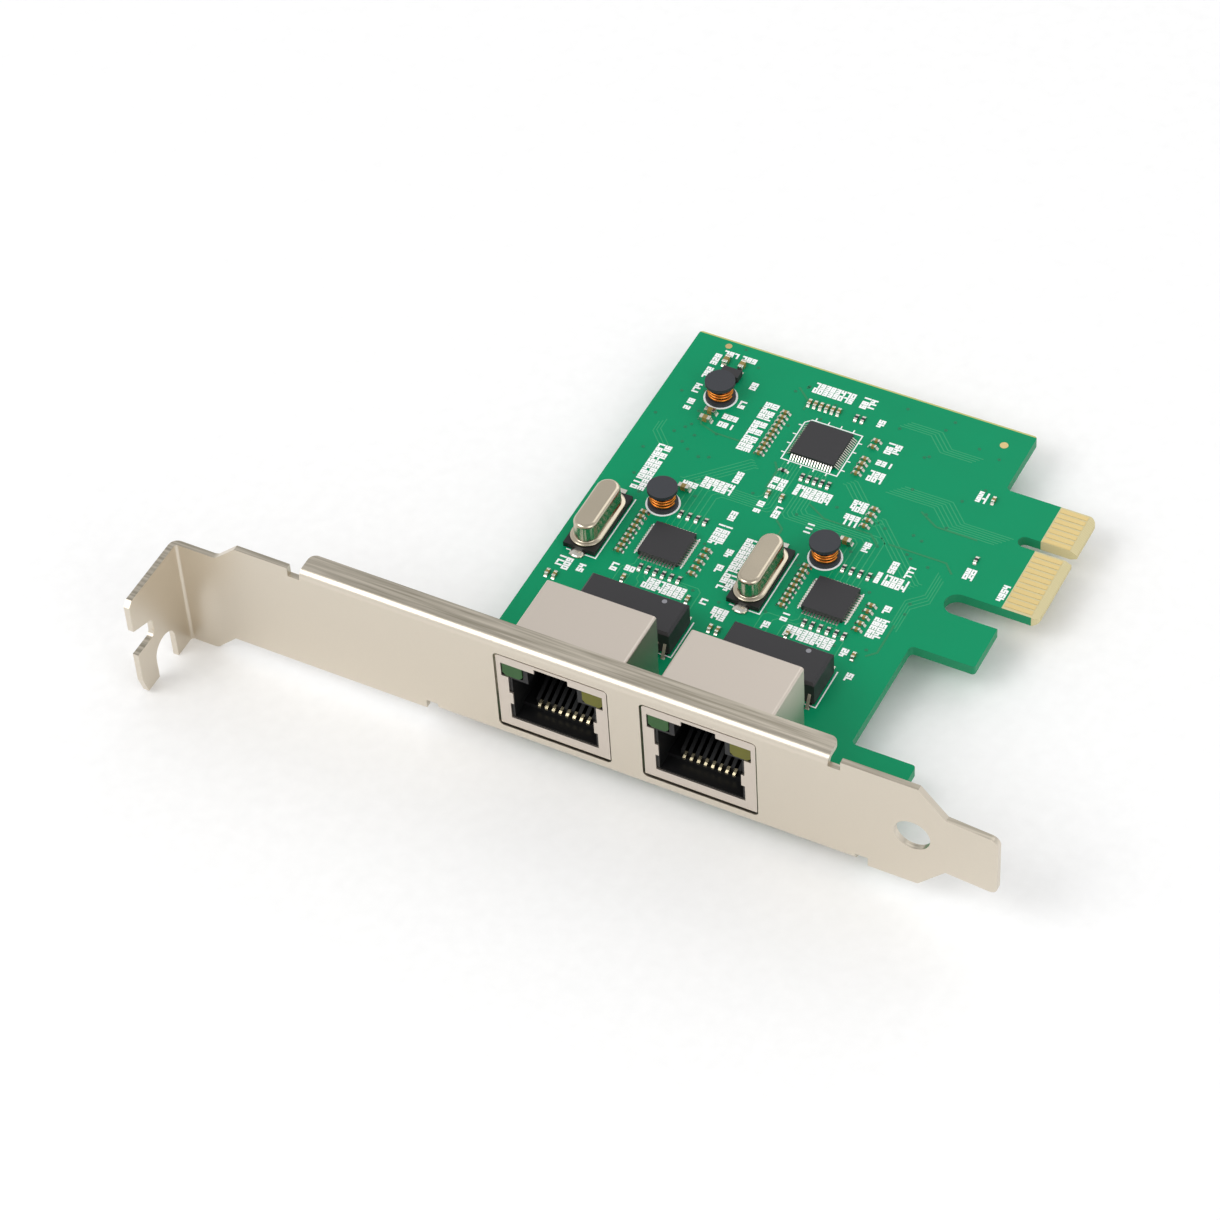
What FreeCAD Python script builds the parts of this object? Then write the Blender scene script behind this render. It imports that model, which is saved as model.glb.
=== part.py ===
"""Dual-port network interface card on a full-height mounting bracket, in millimetres.

X runs along the bracket from the screw tab to the tongue, Y from the bracket's outer face into the
computer, Z from the solder side to the component side. The plate's outer face is Y = 0, the tab's
outer face is X = 0 and the plate's lower edge is Z = 0.
"""
import FreeCAD, Part
import os
import re
import Sketcher

# Alias, value and meaning of every driving size.
SIZES = (
    # bracket
    ("sheet", 0.86, "thickness of the bracket's steel"),
    ("bracket_length", 120.02, "tab face to the end of the tongue"),
    ("band_height", 18.42, "height of the plate"),
    ("tab_reach", 12.0, "length of the screw tab"),
    ("tab_drop", 3.2, "how far the tab end hangs below the plate"),
    ("shoulder_rise", 3.12, "how far the tab's upper edge lies below the plate's"),
    ("bend_radius", 0.45, "inner radius of the bends"),
    ("tab_clip", 0.8, "clipped outer corner of the tab"),
    ("shoulder_start", 7.0, "foot of the upper slope"),
    ("shoulder_length", 3.3, "length of the upper slope"),
    ("foot_end", 5.0, "end of the lowered stretch"),
    ("foot_rise", 3.2, "length of the lower slope"),
    ("taper_length", 3.8, "length of the taper"),
    ("tongue_length", 7.32, "length of the tongue behind its taper"),
    ("tongue_width", 10.19, "width of the tongue"),
    ("tongue_set", 0.5, "how far the end of the tongue stands outward"),
    ("tongue_round", 1.2, "corners of the tongue"),
    ("edge_round", 1.5, "rounded corners of the plate's slopes"),
    ("screw_slot_low", 5.3, "lower edge of the screw slot"),
    ("screw_slot_width", 4.7, "mouth of the screw slot"),
    ("screw_slot_depth", 4.2, "depth of the screw slot"),
    ("screw_slot_slant", 1.7, "how much the slot narrows inward"),
    ("screw_slot_round", 0.9, "inner corners of the slot"),
    ("hook_low", -2.6, "lower end of the hook"),
    ("hook_clip_width", 0.8, "slanted outer corner of the hook, along the tab"),
    ("hook_clip_rise", 2.8, "slanted outer corner of the hook, upward"),
    ("arch_middle", 5.95, "distance of the arch from the plate's face"),
    ("arch_radius", 2.4, "radius of the arch"),
    ("arch_spring", 0.75, "height of the arch's centre"),
    ("relief_depth", 1.5, "depth of the bend reliefs"),
    ("relief_width", 1.75, "width of the bend reliefs"),
    ("flange_depth", 3.7, "depth of both flanges from the plate's face"),
    ("upper_flange_start", 20.1, "upper flange, tab side"),
    ("upper_flange_inset", 23.52, "upper flange to the end of the tongue"),
    ("flange_corner", 1.1, "corners of the flanges"),
    ("flange_overhang", 0.7, "lower flange beyond the board's left edge"),
    ("strip_overhang", 1.35, "board's strip beyond the lower flange"),
    ("ear_depth", 9.2, "depth of the ears under the board"),
    ("ear_gap", 0.95, "gap between an ear and the jack beside it"),
    ("ear_bevel", 1.5, "bevelled corners of the ears"),
    ("window_play", 0.25, "gap between a port window's sides and the jack"),
    ("window_gap", 0.45, "gap between a port window's upper edge and the jack"),
    ("window_drop", 0.35, "port window's lower edge below the jack"),
    ("window_corner", 0.7, "corners of the port windows"),
    ("round_hole", 5.0, "diameter of the round hole"),
    ("round_hole_inset", 11.92, "middle of the round hole to the end of the tongue"),
    # board
    ("board_thickness", 1.57, "thickness of the board"),
    ("board_inset", 27.72, "board's main part to the end of the tongue"),
    ("board_margin", 6.0, "right jack to the right edge of the board's main part"),
    ("board_left_margin", 8.85, "left jack to the left edge of the board"),
    ("board_gap", 0.05, "gap between the bracket's bend and the board's near edge"),
    ("board_far_margin", 14.1, "middle of the switch chip to the board's far edge"),
    ("strip_reach", 9.25, "strip at the bracket and retention arm beyond the main part"),
    ("strip_far", 15.85, "far edge of the strip at the bracket"),
    ("arm_width", 7.5, "width of the retention arm"),
    ("slot_width", 3.7, "width of the U slot between arm and connector"),
    ("slot_floor", 0.8, "inner end of the U slot beyond the main part"),
    ("connector_near", 45.8, "near edge of the edge connector"),
    ("connector_reach", 13.5, "edge connector beyond the main part"),
    ("bevel_length", 0.9, "length of the connector's bevel"),
    ("bevel_depth", 0.45, "depth of the connector's bevel on each face"),
    ("key_middle", 58.2, "middle of the key notch"),
    ("key_radius", 0.95, "half width of the key notch"),
    ("key_floor", 5.3, "inner end of the key notch beyond the main part"),
    ("key_to_far", 8.05, "middle of the key notch to the connector's far edge"),
    ("board_fillet", 0.7, "inner corners of the board"),
    ("board_corner", 0.5, "outer corners of the board"),
    ("tip_corner", 1.0, "corners of the connector's tip"),
    # edge contacts
    ("contact_margin", 0.2, "contacts' ends to the bevel"),
    ("contact_length", 4.0, "length of a contact"),
    ("contact_width", 0.7, "width of a contact"),
    ("contact_pitch", 1.0, "pitch of the contacts"),
    ("contact_edge", 0.8, "first contact's middle to the connector's near edge"),
    ("contact_key", 0.45, "first contact's middle to the far side of the key notch"),
    ("contact_land", 0.25, "least board beyond the last contact's middle"),
    ("plating", 0.05, "height of the plated contacts"),
    # board screws
    ("screw_diameter", 3.0, "shank of the board screws"),
    ("screw_play", 0.1, "play round the shank"),
    ("screw_head", 5.6, "diameter of the head"),
    ("screw_head_height", 1.9, "height of the head"),
    ("screw_tip", 0.2, "shank below the ear"),
    ("screw_in", 5.2, "distance of the screws from the plate's face"),
    # jacks
    ("jack_pitch", 21.15, "distance between the jacks"),
    ("jack_width", 16.1, "width of a jack"),
    ("jack_front", 0.2, "front face of the jacks"),
    ("jack_depth", 14.4, "depth of a jack"),
    ("jack_drop", 2.72, "top of the jacks below the plate's upper edge"),
    ("shield", 0.25, "thickness of the jack shields"),
    ("shield_bend", 0.4, "outer radius of the shield's folds"),
    ("shield_play", 0.05, "gap between shield and insert"),
    ("seam_height", 6.3, "height of the step in the shield's sides"),
    ("seam_step", 0.12, "how far the lower part of the sides stands back"),
    ("tab_height", 2.1, "height of the grounding tabs in the mouth"),
    ("tab_width", 0.5, "how far the grounding tabs reach in"),
    ("tab_rise", 4.4, "height of the grounding tabs above the board"),
    ("mouth_edge", 1.65, "width of the shield's front beside the mouth"),
    ("mouth_low", 1.57, "lower edge of the mouth above the board"),
    ("lamp_edge", 0.65, "width of the shield's front beside the lamps"),
    ("lamp_row_height", 2.45, "height of the opening at the lamps"),
    ("latch_height", 0.85, "height of the latch notch above the lamps"),
    ("latch_edge", 0.52, "height of the shield's front above the latch notch"),
    ("latch_step", 1.15, "how far the latch notch stands in from the channel"),
    ("cavity_side", 0.4, "how far the plug cavity stands in from the mouth"),
    ("cavity_lip", 0.1, "step up from the shield's opening to the cavity floor"),
    ("cavity_shoulder", 0.35, "step down from the lamps to the top of the cavity"),
    ("rear_wall", 2.6, "thickness of the insert behind the plug cavity"),
    ("lamp_wall", 0.9, "thickness of the insert between a lamp and the channel"),
    ("lamp_width", 2.9, "width of a lamp"),
    ("lamp_height", 2.25, "height of a lamp"),
    ("lamp_depth", 5.0, "length of a lamp"),
    ("lamp_inset", 0.15, "lamp face behind the shield's face"),
    ("lamp_bevel", 0.5, "bevelled lower corners of a lamp"),
    ("lamp_play", 0.06, "gap round a lamp"),
    ("carrier_height", 0.6, "height of the spring carrier's base"),
    ("carrier_setback", 0.25, "front of the carrier's base behind the spring tips"),
    ("rib_setback", 0.75, "front of the carrier's ribs behind the spring tips"),
    ("rib_height", 0.45, "height of the carrier's ribs above the springs"),
    ("rib_play", 0.06, "gap between a rib and a spring"),
    ("spring_count", 8, "springs of a jack"),
    ("spring_pitch", 1.02, "pitch of the springs"),
    ("spring_width", 0.4, "width of a spring"),
    ("spring_thickness", 0.35, "thickness of a spring"),
    ("spring_start", 2.4, "front end of the springs behind the jack's face"),
    ("spring_rise", 3.6, "how far the springs rise to the rear wall"),
    ("tail_width", 0.5, "width of a solder tail"),
    ("tail_length", 1.3, "solder tails below the board"),
    ("tail_pitch", 2.04, "pitch of the solder tails in a row"),
    ("tail_near", 6.6, "first row of tails behind the jack's face"),
    ("tail_rows", 2.54, "distance between the rows of tails"),
    ("post_width", 1.0, "width of the shield's posts"),
    ("post_place", 4.3, "shield posts behind the jack's face"),
    # transformer modules
    ("module_shift", -0.38, "left module's middle from the left jack's"),
    ("module_spread", 0.05, "modules' pitch beyond the jacks' pitch"),
    ("module_width", 14.45, "width of a module"),
    ("module_gap", 5.2, "gap between the jacks and the modules"),
    ("module_depth", 6.2, "depth of a module"),
    ("module_height", 3.95, "top of a module above the board"),
    ("module_chamfer", 0.35, "bevelled upper edges of a module"),
    ("standoff", 0.15, "gap under the moulded bodies"),
    ("module_leads", 12, "leads on each side of a module"),
    ("module_lead_pitch", 1.2, "pitch of the module's leads"),
    ("module_lead_width", 0.45, "width of a module's lead"),
    ("module_lead_reach", 1.0, "leads beyond the module's side"),
    ("module_lead_rise", 1.9, "height of the leads at the module"),
    ("lead_thickness", 0.2, "thickness of the module's leads"),
    # crystals
    ("crystal_shift", -12.9, "left crystal's middle from the left jack's"),
    ("crystal_spread", 3.55, "crystals' pitch beyond the jacks' pitch"),
    ("can_width", 3.45, "width of a crystal can"),
    ("can_length", 10.0, "length of a crystal can"),
    ("can_height", 3.0, "height of a crystal can above its rim"),
    ("can_bevel", 0.4, "bevelled upper edge of a can"),
    ("rim_reach", 0.6, "rim beyond the can on every side"),
    ("rim_height", 0.3, "height of the can's rim"),
    ("base_width", 4.8, "width of the crystal's base"),
    ("base_length", 11.6, "length of the crystal's base"),
    ("base_height", 0.8, "height of the crystal's base"),
    ("terminal_width", 1.9, "width of a crystal's terminal"),
    ("terminal_length", 1.2, "length of a crystal's terminal"),
    ("terminal_height", 0.25, "height of a crystal's terminal"),
    # integrated circuits
    ("switch_shift", 8.8, "switch chip's middle from the left jack's"),
    ("switch_gap", 16.65, "inductors to the middle of the switch chip"),
    ("switch_side", 6.6, "side of the switch chip"),
    ("switch_height", 0.9, "top of the switch chip above the board"),
    ("switch_leads", 16, "leads on each side of the switch chip"),
    ("switch_pitch", 0.4, "pitch of the switch chip's leads"),
    ("switch_lead_width", 0.18, "width of the switch chip's leads"),
    ("switch_reach", 0.7, "leads beyond the switch chip's side"),
    ("fine_lead", 0.12, "thickness of the small chips' leads"),
    ("fine_rise", 0.5, "height of the small chips' leads"),
    ("network_shift", -2.35, "left network chip's middle from the left jack's"),
    ("network_spread", 3.4, "network chips' pitch beyond the jacks' pitch"),
    ("network_gap", 8.45, "gap between the modules and the network chips"),
    ("network_side", 6.0, "side of a network chip"),
    ("network_height", 0.85, "height of a network chip"),
    ("regulator_shift", -8.8, "regulator's middle from the left jack's"),
    ("regulator_behind", 7.3, "regulator's middle behind the switch chip's"),
    ("regulator_width", 2.9, "width of the regulator"),
    ("regulator_depth", 1.6, "depth of the regulator"),
    ("regulator_height", 1.1, "top of the regulator above the board"),
    ("regulator_pitch", 0.95, "pitch of the regulator's leads"),
    ("regulator_lead", 0.4, "width of the regulator's leads"),
    ("regulator_reach", 0.6, "leads beyond the regulator's side"),
    # drum inductors
    ("inductor_shift", -4.1, "inductor's middle from that of the network chip beside it"),
    ("inductor_gap", 1.8, "gap between the network chips and the inductors"),
    ("far_inductor_shift", -8.35, "far inductor's middle from the left jack's"),
    ("far_inductor_behind", 3.1, "far inductor's middle behind the switch chip's"),
    ("drum_diameter", 4.3, "flanges of an inductor"),
    ("drum_height", 3.3, "height of an inductor"),
    ("drum_flange", 0.55, "thickness of an inductor's flanges"),
    ("drum_neck", 2.0, "core between the flanges"),
    ("winding_inset", 0.2, "winding behind the edge of the flanges"),
    # chip components
    ("chip_long", 1.0, "length of a chip component"),
    ("chip_wide", 0.5, "width of a chip component"),
    ("capacitor_height", 0.5, "height of a chip capacitor"),
    ("resistor_height", 0.35, "height of a chip resistor"),
    ("tank_long", 1.6, "length of a large capacitor"),
    ("tank_wide", 0.8, "width of a large capacitor"),
    ("tank_height", 0.8, "height of a large capacitor"),
    # cuts
    ("overcut", 1.0, "how far cutting shapes run past the material"),
)

# Places and heights that follow from the sizes above.
BOARD_LOW = "sheet"
BOARD_TOP = "(sheet + board_thickness)"
BAND_MIDDLE = "(band_height / 2)"
TAPER_END = "(bracket_length - tongue_length)"
TAPER_START = f"({TAPER_END} - taper_length)"
TAB_TOP = "(band_height - shoulder_rise)"
JACK_TOP = "(band_height - jack_drop)"
BACK = "(jack_front + jack_depth)"
BOARD_RIGHT = "(bracket_length - board_inset)"
STRIP_RIGHT = f"({BOARD_RIGHT} + strip_reach)"
TIP = f"({BOARD_RIGHT} + connector_reach)"
LEFT_JACK = f"({BOARD_RIGHT} - board_margin - jack_width / 2 - jack_pitch)"
BOARD_LEFT = f"({LEFT_JACK} - jack_width / 2 - board_left_margin)"
FLANGE_START = f"({BOARD_LEFT} - flange_overhang)"
FLANGE_END = f"({STRIP_RIGHT} - strip_overhang)"
EAR_WIDTH = "(board_left_margin + flange_overhang - ear_gap)"
UPPER_FLANGE_END = "(bracket_length - upper_flange_inset)"
CONNECTOR_FAR = "(key_middle + key_to_far)"
MODULE_NEAR = f"({BACK} + module_gap)"
NETWORK_Y = f"({MODULE_NEAR} + module_depth + network_gap + network_side / 2)"
INDUCTOR_Y = f"({NETWORK_Y} + network_side / 2 + inductor_gap + drum_diameter / 2)"
SWITCH_X = f"({LEFT_JACK} + switch_shift)"
SWITCH_Y = f"({INDUCTOR_Y} + drum_diameter / 2 + switch_gap)"
BOARD_FAR = f"({SWITCH_Y} + board_far_margin)"
CAVITY_FLOOR = f"({BOARD_TOP} + mouth_low + cavity_lip)"
LAMP_ROW_TOP = f"({JACK_TOP} - latch_edge - latch_height)"
LAMP_ROW_LOW = f"({LAMP_ROW_TOP} - lamp_row_height)"
LAMP_ROW_WIDTH = "(jack_width - 2 * lamp_edge)"
MOUTH_WIDTH = "(jack_width - 2 * mouth_edge)"
CHANNEL_WIDTH = f"({LAMP_ROW_WIDTH} - 2 * lamp_width - 2 * lamp_wall)"
LATCH_WIDTH = f"({CHANNEL_WIDTH} - 2 * latch_step)"
INSERT_WALL = "(shield + shield_play)"
CAVITY_REAR = f"({BACK} - {INSERT_WALL} - rear_wall)"
SPRING_FRONT = "(jack_front + spring_start)"
CARRIER_TOP = f"({CAVITY_FLOOR} + carrier_height)"

# Rows of chip components, placed from a point of reference: kind, place of the first (X, Y), direction
# and pitch of the row, distance from its first to its last, lengthwise axis of its components.
# The shared rows are placed from the middle of the switch chip.
SHARED_ROWS = (
    ("tank", -17.0, 9.8, "-X", 2.5, 2.5, "Y"),
    ("tank", -17.1, -0.3, "-Y", 1.6, 1.6, "X"),
    ("capacitor", -5.2, 7.1, "+X", 0.9, 4.5, "Y"),
    ("resistor", 2.0, 7.1, "+X", 1.0, 1.0, "Y"),
    ("capacitor", -7.4, -4.8, "+Y", 0.96, 8.64, "X"),
    ("capacitor", 6.5, 4.0, "-Y", 1.2, 1.2, "X"),
    ("capacitor", 6.5, 0.2, "-Y", 1.0, 3.0, "X"),
    ("resistor", -2.9, -6.4, "+X", 1.0, 0.0, "X"),
    ("resistor", 0.0, -6.4, "+X", 1.0, 4.0, "Y"),
    ("capacitor", -2.9, -11.2, "+X", 2.1, 2.1, "Y"),
    ("capacitor", 11.7, -8.0, "-Y", 1.15, 3.45, "X"),
)
# The channel's rows are placed from the middle of each network chip.
CHANNEL_ROWS = (
    ("capacitor", -5.65, -3.55, "+Y", 0.98, 7.84, "X"),
    ("resistor", -0.95, 6.15, "+X", 1.25, 3.75, "Y"),
    ("capacitor", 5.35, 1.35, "-Y", 1.18, 4.72, "X"),
    ("resistor", -1.55, -5.05, "+X", 1.17, 5.85, "Y"),
    ("capacitor", -2.75, -7.75, "+X", 9.7, 9.7, "Y"),
    ("capacitor", -12.55, -11.15, "+X", 1.1, 1.1, "Y"),
    ("tank", -2.75, 10.6, "+X", 1.0, 0.0, "X"),
)
# These two stand at the edge connector, placed from its near inner corner.
CONNECTOR_ROWS = (
    ("capacitor", -0.6, 17.7, "+X", 1.0, 0.0, "Y"),
    ("resistor", 1.7, 6.5, "+X", 1.0, 0.0, "Y"),
)
DIRECTIONS = {"+X": (1, 0), "-X": (-1, 0), "+Y": (0, 1), "-Y": (0, -1)}

DOCUMENT = FreeCAD.newDocument("NetworkCard")
SHEET = DOCUMENT.addObject("Spreadsheet::Sheet", "Sizes")
PARTS = []


def fill_sheet():
    """Write every driving size into the spreadsheet under its alias."""
    for row, (alias, number, meaning) in enumerate(SIZES, start=1):
        SHEET.set(f"A{row}", meaning)
        SHEET.set(f"B{row}", str(number))
        SHEET.setAlias(f"B{row}", alias)
    DOCUMENT.recompute()


def linked(formula):
    """Formula with each bare word turned into the spreadsheet's cell of that alias."""
    return re.sub(r"\b(?!floor\b)[a-z][a-z_]+", lambda word: "Sizes." + word.group(), str(formula))


def value(formula):
    """Number that a formula gives with the spreadsheet's present sizes."""
    return float(SHEET.evalExpression(linked(formula)))


def new_body(label):
    """Empty body for one sub-part; its solids may lie apart."""
    body = DOCUMENT.addObject("PartDesign::Body", label)
    body.Label = label
    body.AllowCompound = True
    PARTS.append(body)
    return body


def new_sketch(body, plane, height="0"):
    """Sketch parallel to an origin plane, at a distance along +Z, +Y or +X."""
    sketch = body.newObject("Sketcher::SketchObject", f"{body.Name}_sketch")
    support = next(item for item in body.Origin.OriginFeatures if item.Role == plane)
    sketch.AttachmentSupport = (support, [""])
    sketch.MapMode = "FlatFace"
    outward = "-1 * " if plane == "XZ_Plane" else ""
    sketch.setExpression("AttachmentOffset.Base.z", f"{outward}({linked(height)})")
    return sketch


def bind(sketch, kind, element, formula, point=None):
    """Dimension of a sketch element, driven by a formula."""
    place = (-1, 1, element, point) if point else (element,)
    index = sketch.addConstraint(Sketcher.Constraint(kind, *place, value(formula)))
    sketch.setExpression(f"Constraints[{index}]", linked(formula))


def hold(sketch, element, point, x, y):
    """Fix a point of a sketch element at two driven distances from the origin."""
    bind(sketch, "DistanceX", element, x, point)
    bind(sketch, "DistanceY", element, y, point)


def polygon(sketch, corners):
    """Closed outline of straight lines through corners given as pairs of formulas."""
    first = sketch.GeometryCount
    points = [FreeCAD.Vector(value(x), value(y), 0) for x, y in corners]
    following = points[1:] + points[:1]
    sketch.addGeometry([Part.LineSegment(*ends) for ends in zip(points, following)], False)
    for index in range(len(points)):
        after = first + (index + 1) % len(points)
        sketch.addConstraint(Sketcher.Constraint("Coincident", first + index, 2, after, 1))
    for index, (x, y) in enumerate(corners):
        hold(sketch, first + index, 1, x, y)


def rectangle(sketch, left, right, low, high):
    """Closed rectangle between four driven distances."""
    polygon(sketch, ((left, low), (right, low), (right, high), (left, high)))


def block_outline(sketch, x, y, width, depth):
    """Closed rectangle about a driven centre."""
    sides = [f"{x} {sign} ({width}) / 2" for sign in "-+"]
    ends = [f"{y} {sign} ({depth}) / 2" for sign in "-+"]
    rectangle(sketch, *sides, *ends)


def circle(sketch, x, y, diameter):
    """Circle with a driven centre and diameter."""
    centre = FreeCAD.Vector(value(x), value(y), 0)
    shape = Part.Circle(centre, FreeCAD.Vector(0, 0, 1), value(diameter) / 2)
    index = sketch.addGeometry(shape, False)
    hold(sketch, index, 3, x, y)
    bind(sketch, "Diameter", index, diameter)


def round_slot(sketch, first, second, radius, turn):
    """Slot with round ends about two centres; turn is the angle of its length, 0 or 90 degrees."""
    axis = FreeCAD.Vector(0, 0, 1)
    across = FreeCAD.Rotation(axis, turn).multVec(FreeCAD.Vector(0, value(radius), 0))
    ends = [FreeCAD.Vector(value(x), value(y), 0) for x, y in (first, second)]
    start = turn + 90
    arcs = []
    for centre, angle in zip(ends, (start, start - 180)):
        round_end = Part.Circle(centre, axis, value(radius))
        arcs.append(Part.ArcOfCircle(round_end, *[radians(angle + part) for part in (0, 180)]))
    sides = [Part.LineSegment(ends[0] - across, ends[1] - across),
             Part.LineSegment(ends[1] + across, ends[0] + across)]
    base = sketch.GeometryCount
    sketch.addGeometry(arcs + sides, False)
    for arc, side in ((0, 2), (1, 3)):
        sketch.addConstraint(Sketcher.Constraint("Tangent", base + arc, 2, base + side, 1))
    for side, arc in ((2, 1), (3, 0)):
        sketch.addConstraint(Sketcher.Constraint("Tangent", base + side, 2, base + arc, 1))
    hold(sketch, base, 3, *first)
    hold(sketch, base + 1, 3, *second)
    bind(sketch, "Radius", base, radius)


def radians(degrees):
    """Angle in radians."""
    return FreeCAD.Units.Quantity(f"{degrees} deg").getValueAs("rad").Value


def raise_pad(sketch, height):
    """Pad a sketch by a driven height along +Z, +Y or +X."""
    body = sketch.getParentGeoFeatureGroup()
    pad = body.newObject("PartDesign::Pad", f"{body.Name}_pad")
    pad.Profile = sketch
    pad.Reversed = "XZ" in sketch.AttachmentSupport[0][0].Role
    pad.setExpression("Length", linked(height))
    DOCUMENT.recompute()
    return pad


def cut_pocket(sketch, depth):
    """Cut a sketch by a driven depth along +Z, +Y or +X, and see that it takes material away."""
    body = sketch.getParentGeoFeatureGroup()
    before = body.Shape.Volume
    pocket = body.newObject("PartDesign::Pocket", f"{body.Name}_pocket")
    pocket.Profile = sketch
    pocket.Reversed = "XZ" not in sketch.AttachmentSupport[0][0].Role
    pocket.setExpression("Length", linked(depth))
    DOCUMENT.recompute()
    if body.Shape.Volume >= before:
        raise ValueError(f"a pocket in {body.Label} cuts nothing")
    return pocket


def revolve(sketch):
    """Turn a sketch fully about its own vertical axis."""
    body = sketch.getParentGeoFeatureGroup()
    turned = body.newObject("PartDesign::Revolution", f"{body.Name}_turned")
    turned.Profile = sketch
    turned.ReferenceAxis = (sketch, ["V_Axis"])
    DOCUMENT.recompute()
    return turned


def repeat(feature, axis, count, pitch):
    """Row of copies of a feature along an axis of its sketch, at a driven pitch."""
    body = feature.getParentGeoFeatureGroup()
    row = body.newObject("PartDesign::LinearPattern", f"{body.Name}_row")
    row.Originals = [feature]
    row.Direction = (feature.Profile[0], [axis])
    row.Mode = "Spacing"
    row.setExpression("Offset", linked(pitch))
    row.setExpression("Occurrences", linked(count))
    body.Tip = row
    DOCUMENT.recompute()
    return row


def edges_through(body, points, direction):
    """Names of the straight edges that run in a direction through one of the points."""
    names = []
    for number, edge in enumerate(body.Shape.Edges, start=1):
        if edge.Curve.TypeId != "Part::GeomLine":
            continue
        if edge.Curve.Direction.cross(direction).Length > 1e-6:
            continue
        start = edge.Vertexes[0].Point
        if any((start - point).cross(direction).Length < 1e-4 for point in points):
            names.append(f"Edge{number}")
    return names


def soften(body, kind, names, sizes):
    """Fillet or chamfer the named edges of a body by driven sizes."""
    base = body.Tip
    feature = body.newObject(f"PartDesign::{kind}", f"{body.Name}_{kind.lower()}")
    feature.Base = (base, names)
    for path, formula in sizes.items():
        feature.setExpression(path, linked(formula))
    DOCUMENT.recompute()
    if "Invalid" in feature.State:
        raise ValueError(f"a {kind.lower()} of {body.Label} failed")


def corner_edges(body, plane, corners):
    """Names of a body's edges that stand on a plane at corners given in that plane."""
    x_axis, y_axis, z_axis = (FreeCAD.Vector(*unit) for unit in ((1, 0, 0), (0, 1, 0), (0, 0, 1)))
    first, second, across = {
        "XY": (x_axis, y_axis, z_axis),
        "XZ": (x_axis, z_axis, y_axis),
        "YZ": (y_axis, z_axis, x_axis),
    }[plane]
    points = [first * value(a) + second * value(b) for a, b in corners]
    names = edges_through(body, points, across)
    if len(names) < len(corners):
        raise ValueError(f"{body.Label} lacks a corner")
    return names


def fillet(body, plane, corners, radius):
    """Round the edges that stand on a plane at corners given in that plane."""
    soften(body, "Fillet", corner_edges(body, plane, corners), {"Radius": radius})


def top_edges(body):
    """Names of the edges that lie in the highest plane of a body."""
    top = body.Shape.BoundBox.ZMax
    return [f"Edge{number}" for number, edge in enumerate(body.Shape.Edges, start=1)
            if edge.BoundBox.ZMin > top - 1e-4]


def ear_middles():
    """Middles of the two ears of the lower flange, along the bracket."""
    return f"({FLANGE_START} + {EAR_WIDTH} / 2)", f"({FLANGE_END} - {EAR_WIDTH} / 2)"


def build_bracket():
    """Folded sheet: tab, plate with windows, tongue, and a flange along each edge."""
    body = new_body("bracket")
    fold_tab_and_plate(body)
    add_flanges(body)
    cut_front_outline(body)
    fold_flanges(body)
    cut_tab_outline(body)
    cut_windows(body)
    round_bracket_corners(body)


def fold_tab_and_plate(body):
    """The L section of tab and plate, over the whole height, bent at the corner."""
    sketch = new_sketch(body, "XY_Plane", "-tab_drop")
    polygon(sketch, (
        ("0", "-tab_reach"), ("sheet", "-tab_reach"), ("sheet", "0"), (TAPER_END, "0"),
        ("bracket_length", "-tongue_set"), ("bracket_length", "sheet - tongue_set"),
        (TAPER_END, "sheet"), ("0", "sheet")))
    raise_pad(sketch, "band_height + tab_drop")
    fillet(body, "XY", [("sheet", "0")], "bend_radius")
    fillet(body, "XY", [("0", "sheet")], "bend_radius + sheet")


def add_flanges(body):
    """Flat strips of the upper and the lower flange, the lower one with its two ears."""
    upper = new_sketch(body, "XY_Plane", "band_height - sheet")
    rectangle(upper, "upper_flange_start", UPPER_FLANGE_END, "0", "flange_depth")
    raise_pad(upper, "sheet")
    lower = new_sketch(body, "XY_Plane")
    left, right = f"{FLANGE_START} + {EAR_WIDTH}", f"{FLANGE_END} - {EAR_WIDTH}"
    polygon(lower, (
        (FLANGE_START, "0"), (FLANGE_END, "0"), (FLANGE_END, "ear_depth"), (right, "ear_depth"),
        (right, "flange_depth"), (left, "flange_depth"), (left, "ear_depth"), (FLANGE_START, "ear_depth")))
    raise_pad(lower, "sheet")
    holes = new_sketch(body, "XY_Plane", "-overcut")
    for middle in ear_middles():
        circle(holes, middle, "screw_in", "screw_diameter + 2 * screw_play")
    cut_pocket(holes, "sheet + 2 * overcut")


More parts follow.
